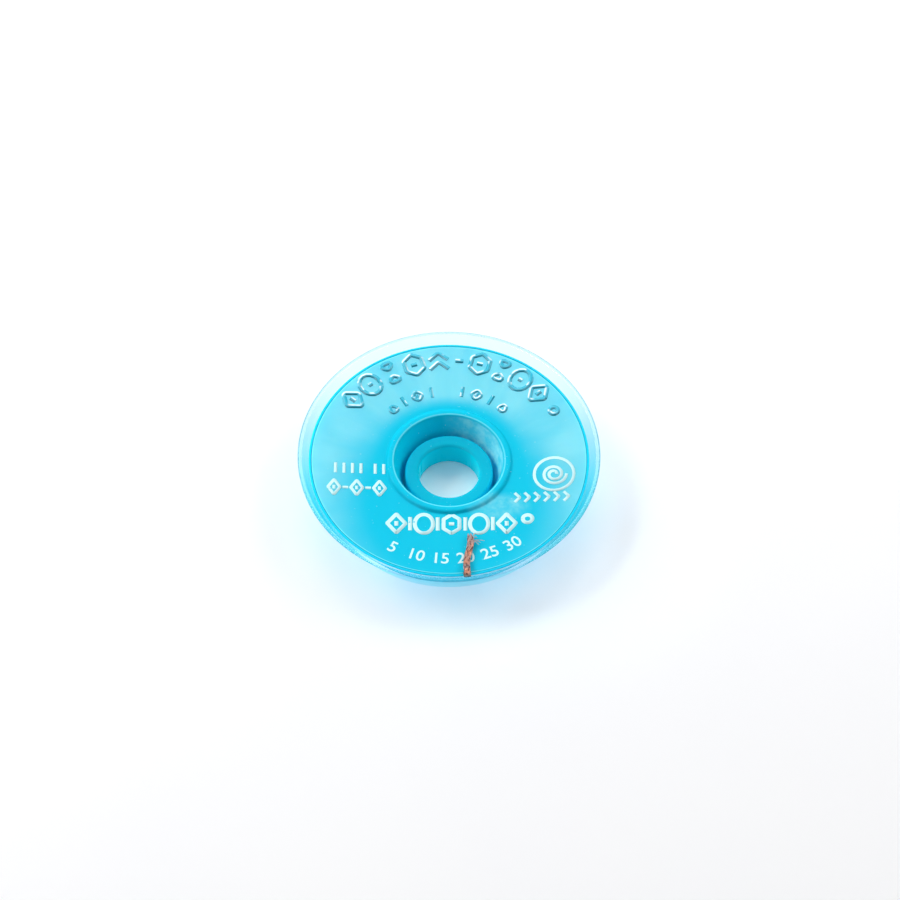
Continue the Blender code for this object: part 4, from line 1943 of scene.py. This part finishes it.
@dataclass
class Tail:
    """The braid's free end, from beside the coil, up past the cover's edge and onto it.

    Attributes:
        bobbin: The shared sizes.
        coil_radius: Outer radius of the coil that it leaves.
        width: Width of the braid.
        thickness: Thickness of the braid.
        turn: Anticlockwise place of its way out, round from the front.
        wrap: How far it still follows the coil.
        rise: Height that it gains on its way to the wall.
        fold_height: Height of its fold above the cover's edge.
        fold_reach: How far the fold reaches back over the edge.
        lay: Where it lies on the cover: distance in from the edge, and drift to the right.
        station: Spacing of the points of its smooth line.
        strands: Strands that go round each way.
        wires: Wires side by side in each strand.
        bulge: How much wider the loose wires make it.
        samples: Points along each wire.
    """

    bobbin: Bobbin
    coil_radius: float
    width: float = 0.0010
    thickness: float = 0.00035
    turn: float = math.radians(7.5)
    wrap: float = math.radians(16.0)
    rise: float = 0.0010
    fold_height: float = 0.0008
    fold_reach: float = 0.0011
    lay: tuple[Point, ...] = (
        (0.0020, 0.0001),
        (0.0033, 0.0004),
        (0.0047, 0.0009),
        (0.0061, 0.0013),
        (0.0078, 0.0014),
    )
    station: float = 0.0006
    strands: int = 3
    wires: int = 4
    bulge: float = 0.00012
    samples: int = 420

    def route(self) -> list[tuple[Vector, Vector]]:
        """The points that the braid passes and the way that its outer face looks there.

        Returns:
            The points and faces, before they are turned to the braid's place.
        """
        size = self.bobbin
        near = size.gap + self.thickness / 2
        coil_line = self.coil_radius + near
        mouth = size.edge_top - 2 * size.cover_wall
        gap_line = size.inside_wall(mouth, near)
        leave = math.acos(coil_line / gap_line)
        height = (size.winding_foot + size.winding_top) / 2
        wall_face = Vector((0.0, -math.cos(size.wall_lean), -math.sin(size.wall_lean)))
        upwards = Vector((0.0, 0.0, 1.0))
        route = []
        for share in (1.0, 0.5, 0.0):
            turn = leave + self.wrap * share
            face = Vector((-math.sin(turn), -math.cos(turn), 0.0))
            route.append((face * coil_line + upwards * height, face))
        touch, coil_face = route[-1]
        near_wall = Vector((0.0, -gap_line, height + self.rise))
        for share in (0.35, 0.7):
            route.append((touch.lerp(near_wall, share), coil_face.lerp(wall_face, share)))
        for level in (mouth, size.edge_top - size.cover_wall, size.edge_top):
            route.append((Vector((0.0, -size.inside_wall(level, near), level)), wall_face))
        route += self.fold(near, wall_face, upwards)
        for inwards, sideways in self.lay:
            radius = size.cover_radius - inwards
            spot = Vector((sideways, -radius, size.cover_top(radius) + near))
            route.append((spot, upwards))
        return route

    def fold(self, near: float, wall_face: Vector, upwards: Vector) -> list[tuple[Vector, Vector]]:
        """The points of the fold over the cover's edge.

        Args:
            near: Distance of the braid's middle from what it passes.
            wall_face: The way that the wall faces out.
            upwards: Straight up.

        Returns:
            The points and faces.
        """
        size = self.bobbin
        crest = size.edge_top + self.fold_height
        outer = size.inside_wall(size.edge_top, near)
        outwards = Vector((0.0, -1.0, 0.0))
        turning = wall_face.lerp(outwards, 0.5)
        return [
            (Vector((0.0, -outer, size.edge_top + self.fold_height / 2)), turning),
            (Vector((0.0, self.fold_reach / 2 - outer, crest)), upwards),
            (Vector((0.0, self.fold_reach - outer, crest - self.fold_height / 5)), upwards),
        ]

    def stations(self) -> list[tuple[Vector, Vector]]:
        """Points a short way apart on the smooth line through the route, in their place.

        Returns:
            The points and faces.
        """
        route = self.route()
        ends = [route[0], *route, route[-1]]
        spin = Matrix.Rotation(self.turn, 3, "Z")
        stations = []
        for index in range(1, len(ends) - 2):
            near = [ends[index + offset][0] for offset in (-1, 0, 1, 2)]
            first_face, last_face = ends[index][1], ends[index + 1][1]
            steps = max(1, round((near[2] - near[1]).length / self.station))
            for step in range(steps):
                share = step / steps
                face = first_face.lerp(last_face, share)
                stations.append((spin @ self.through(near, share), spin @ face))
        return [*stations, (spin @ route[-1][0], spin @ route[-1][1])]

    @staticmethod
    def through(near: Sequence[Vector], share: float) -> Vector:
        """Point a share of the way from the second to the third of four points.

        Args:
            near: The four points.
            share: The share.

        Returns:
            The point.
        """
        before, start, end, after = near
        square, cube = share**2, share**3
        return (
            start * (2 * cube - 3 * square + 1)
            + (end - before) / 2 * (cube - 2 * square + share)
            + end * (3 * square - 2 * cube)
            + (after - start) / 2 * (cube - square)
        )

    def build(self, groups: SurfaceGroups) -> Object:
        """Args:
            groups: The shared shader groups.

        Returns:
            The free end.
        """
        stations = self.stations()
        points = [point for point, _ in stations]
        guide = bpy.data.meshes.new("braid_guide")
        guide.from_pydata(points, [(i, i + 1) for i in range(len(points) - 1)], [])
        face = guide.attributes.new("face", "FLOAT_VECTOR", "POINT")
        for item, (_, way) in zip(face.data, stations):
            item.vector = way
        values = {
            "Strands": self.strands,
            "Wires": self.wires,
            "Samples": self.samples,
            "Width": self.width + self.bulge,
            "Thickness": self.thickness,
            "Material": CopperBraid().material(groups),
        }
        tail = grown("free_end", guide, BraidTree().tree, values)
        dressed(tail, "braid_tail")
        return tail


class LampUse(Enum):
    """What a lamp is for."""

    LIGHT = "light"
    GLINTS = "glints"


@dataclass(frozen=True)
class Softbox:
    """A large soft lamp that looks at the bobbin.

    Attributes:
        name: Its name.
        turn: Clockwise place round from the back, in degrees.
        elevation: Height above the floor, in degrees.
        distance: Distance from the bobbin.
        side: Its width.
        depth: Its height.
        power: Its power in watts.
        use: Whether it lights things, or only shows in their reflections.
    """

    name: str
    turn: float
    elevation: float
    distance: float
    side: float
    depth: float
    power: float
    use: LampUse = LampUse.LIGHT

    def build(self) -> Object:
        """Hangs the lamp.

        Returns:
            The lamp.
        """
        turn, lift = math.radians(self.turn), math.radians(self.elevation)
        way = Vector(
            (math.sin(turn) * math.cos(lift), math.cos(turn) * math.cos(lift), math.sin(lift))
        )
        light = bpy.data.lights.new(self.name, "AREA")
        light.shape = "RECTANGLE"
        light.size = self.side
        light.size_y = self.depth
        light.energy = self.power
        lamp = bpy.data.objects.new(self.name, light)
        lamp.location = way * self.distance
        lamp.rotation_euler = way.to_track_quat("Z", "Y").to_euler()
        lamp.visible_diffuse = self.use is LampUse.LIGHT
        lamp.visible_transmission = self.use is LampUse.LIGHT
        bpy.context.scene.collection.objects.link(lamp)
        return lamp


@dataclass
class Studio:
    """The pale floor, the soft light and the camera.

    Attributes:
        elevation: How far the camera looks down.
        distance: Distance of the camera.
        frame_width: Width of the picture at the bobbin.
        sensor: Width of the camera's sensor, in millimetres.
        aim: What the camera looks at: height above the floor, and how far right of and
            above that point, in the picture, its middle lies.
        softboxes: The lamps.
        surroundings: Brightness of the surroundings, as light and as seen.
        sky: Colour of the surroundings.
        floor_drop: How far the floor lies below the bobbin, so that no faces coincide.
    """

    elevation: float = math.radians(55.5)
    distance: float = 1.0
    frame_width: float = 0.1431
    sensor: float = 36.0
    aim: tuple[float, float, float] = (0.0050, 0.00016, 0.00298)
    softboxes: tuple[Softbox, ...] = (
        Softbox("softbox_left", -66.0, 33.0, 0.60, 0.38, 0.28, 2.7),
        Softbox("softbox_right", 64.0, 33.0, 0.60, 0.34, 0.26, 1.4),
        Softbox("softbox_back", -4.0, 46.0, 0.60, 0.34, 0.26, 0.85),
        Softbox("sheen", -6.0, 84.0, 0.60, 0.44, 0.42, 1.2, use=LampUse.GLINTS),
        Softbox("glint_left", -118.0, 38.0, 0.55, 0.34, 0.26, 3.0, use=LampUse.GLINTS),
        Softbox("glint_right", 118.0, 38.0, 0.55, 0.34, 0.26, 2.0, use=LampUse.GLINTS),
    )
    surroundings: tuple[float, float] = (0.37, 0.99)
    sky: Color = (0.96, 0.968, 0.985)
    floor_drop: float = 0.00004

    def build(self) -> None:
        """Builds the studio."""
        self.build_floor()
        self.build_world()
        for softbox in self.softboxes:
            softbox.build()
        self.build_camera()
        view = bpy.context.scene.view_settings
        view.view_transform = "Standard"
        view.look = "None"

    def build_floor(self) -> Object:
        """Lays the floor.

        Returns:
            The floor.
        """
        bm = bmesh.new()
        bmesh.ops.create_circle(bm, cap_ends=True, segments=96, radius=3.0)
        bmesh.ops.translate(bm, verts=bm.verts, vec=(0.0, 0.0, -self.floor_drop))
        floor = finished_object("studio_floor", bm)
        floor.data.materials.append(PaleFloor().material())
        return floor

    def build_world(self) -> None:
        """Lights the surroundings softly, and shows them paler to the camera."""
        world = bpy.data.worlds.new("studio")
        world.use_nodes = True
        graph = Graph(world.node_tree)
        lit, seen = self.surroundings
        back = world.node_tree.nodes["Background"]
        camera = graph.node("ShaderNodeLightPath").outputs["Is Camera Ray"]
        strength = graph.scaled(camera, seen - lit, lit)
        graph.fill(back, {"Color": rgba(self.sky), "Strength": strength})
        bpy.context.scene.world = world

    def build_camera(self) -> Object:
        """Sets up the camera at the photograph's viewing angle.

        Returns:
            The camera.
        """
        height, right, up = self.aim
        back = Vector((0.0, -math.cos(self.elevation), math.sin(self.elevation)))
        upwards = Vector((0.0, math.sin(self.elevation), math.cos(self.elevation)))
        aim = Vector((right, 0.0, height)) + upwards * up
        data = bpy.data.cameras.new("camera")
        data.sensor_width = self.sensor
        data.lens = self.sensor * self.distance / self.frame_width
        data.clip_start = 0.01
        camera = bpy.data.objects.new("camera", data)
        camera.location = aim + back * self.distance
        camera.rotation_euler = (math.pi / 2 - self.elevation, 0.0, 0.0)
        bpy.context.scene.collection.objects.link(camera)
        bpy.context.scene.camera = camera
        return camera


def main() -> None:
    """Builds the studio and the bobbin's sub-assemblies in order."""
    logging.basicConfig(level=logging.INFO, format="%(name)s: %(message)s")
    Studio().build()
    bobbin = Bobbin.from_frame()
    groups = SurfaceGroups()
    low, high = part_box("braid_coil")
    Tail(bobbin, coil_radius=(high.x - low.x) / 2).build(groups)
    Dish(bobbin).build(groups)
    Cover(bobbin).build(groups, StrokeTree())
    Coil(bobbin).build(groups)


if __name__ == "__main__":
    main()
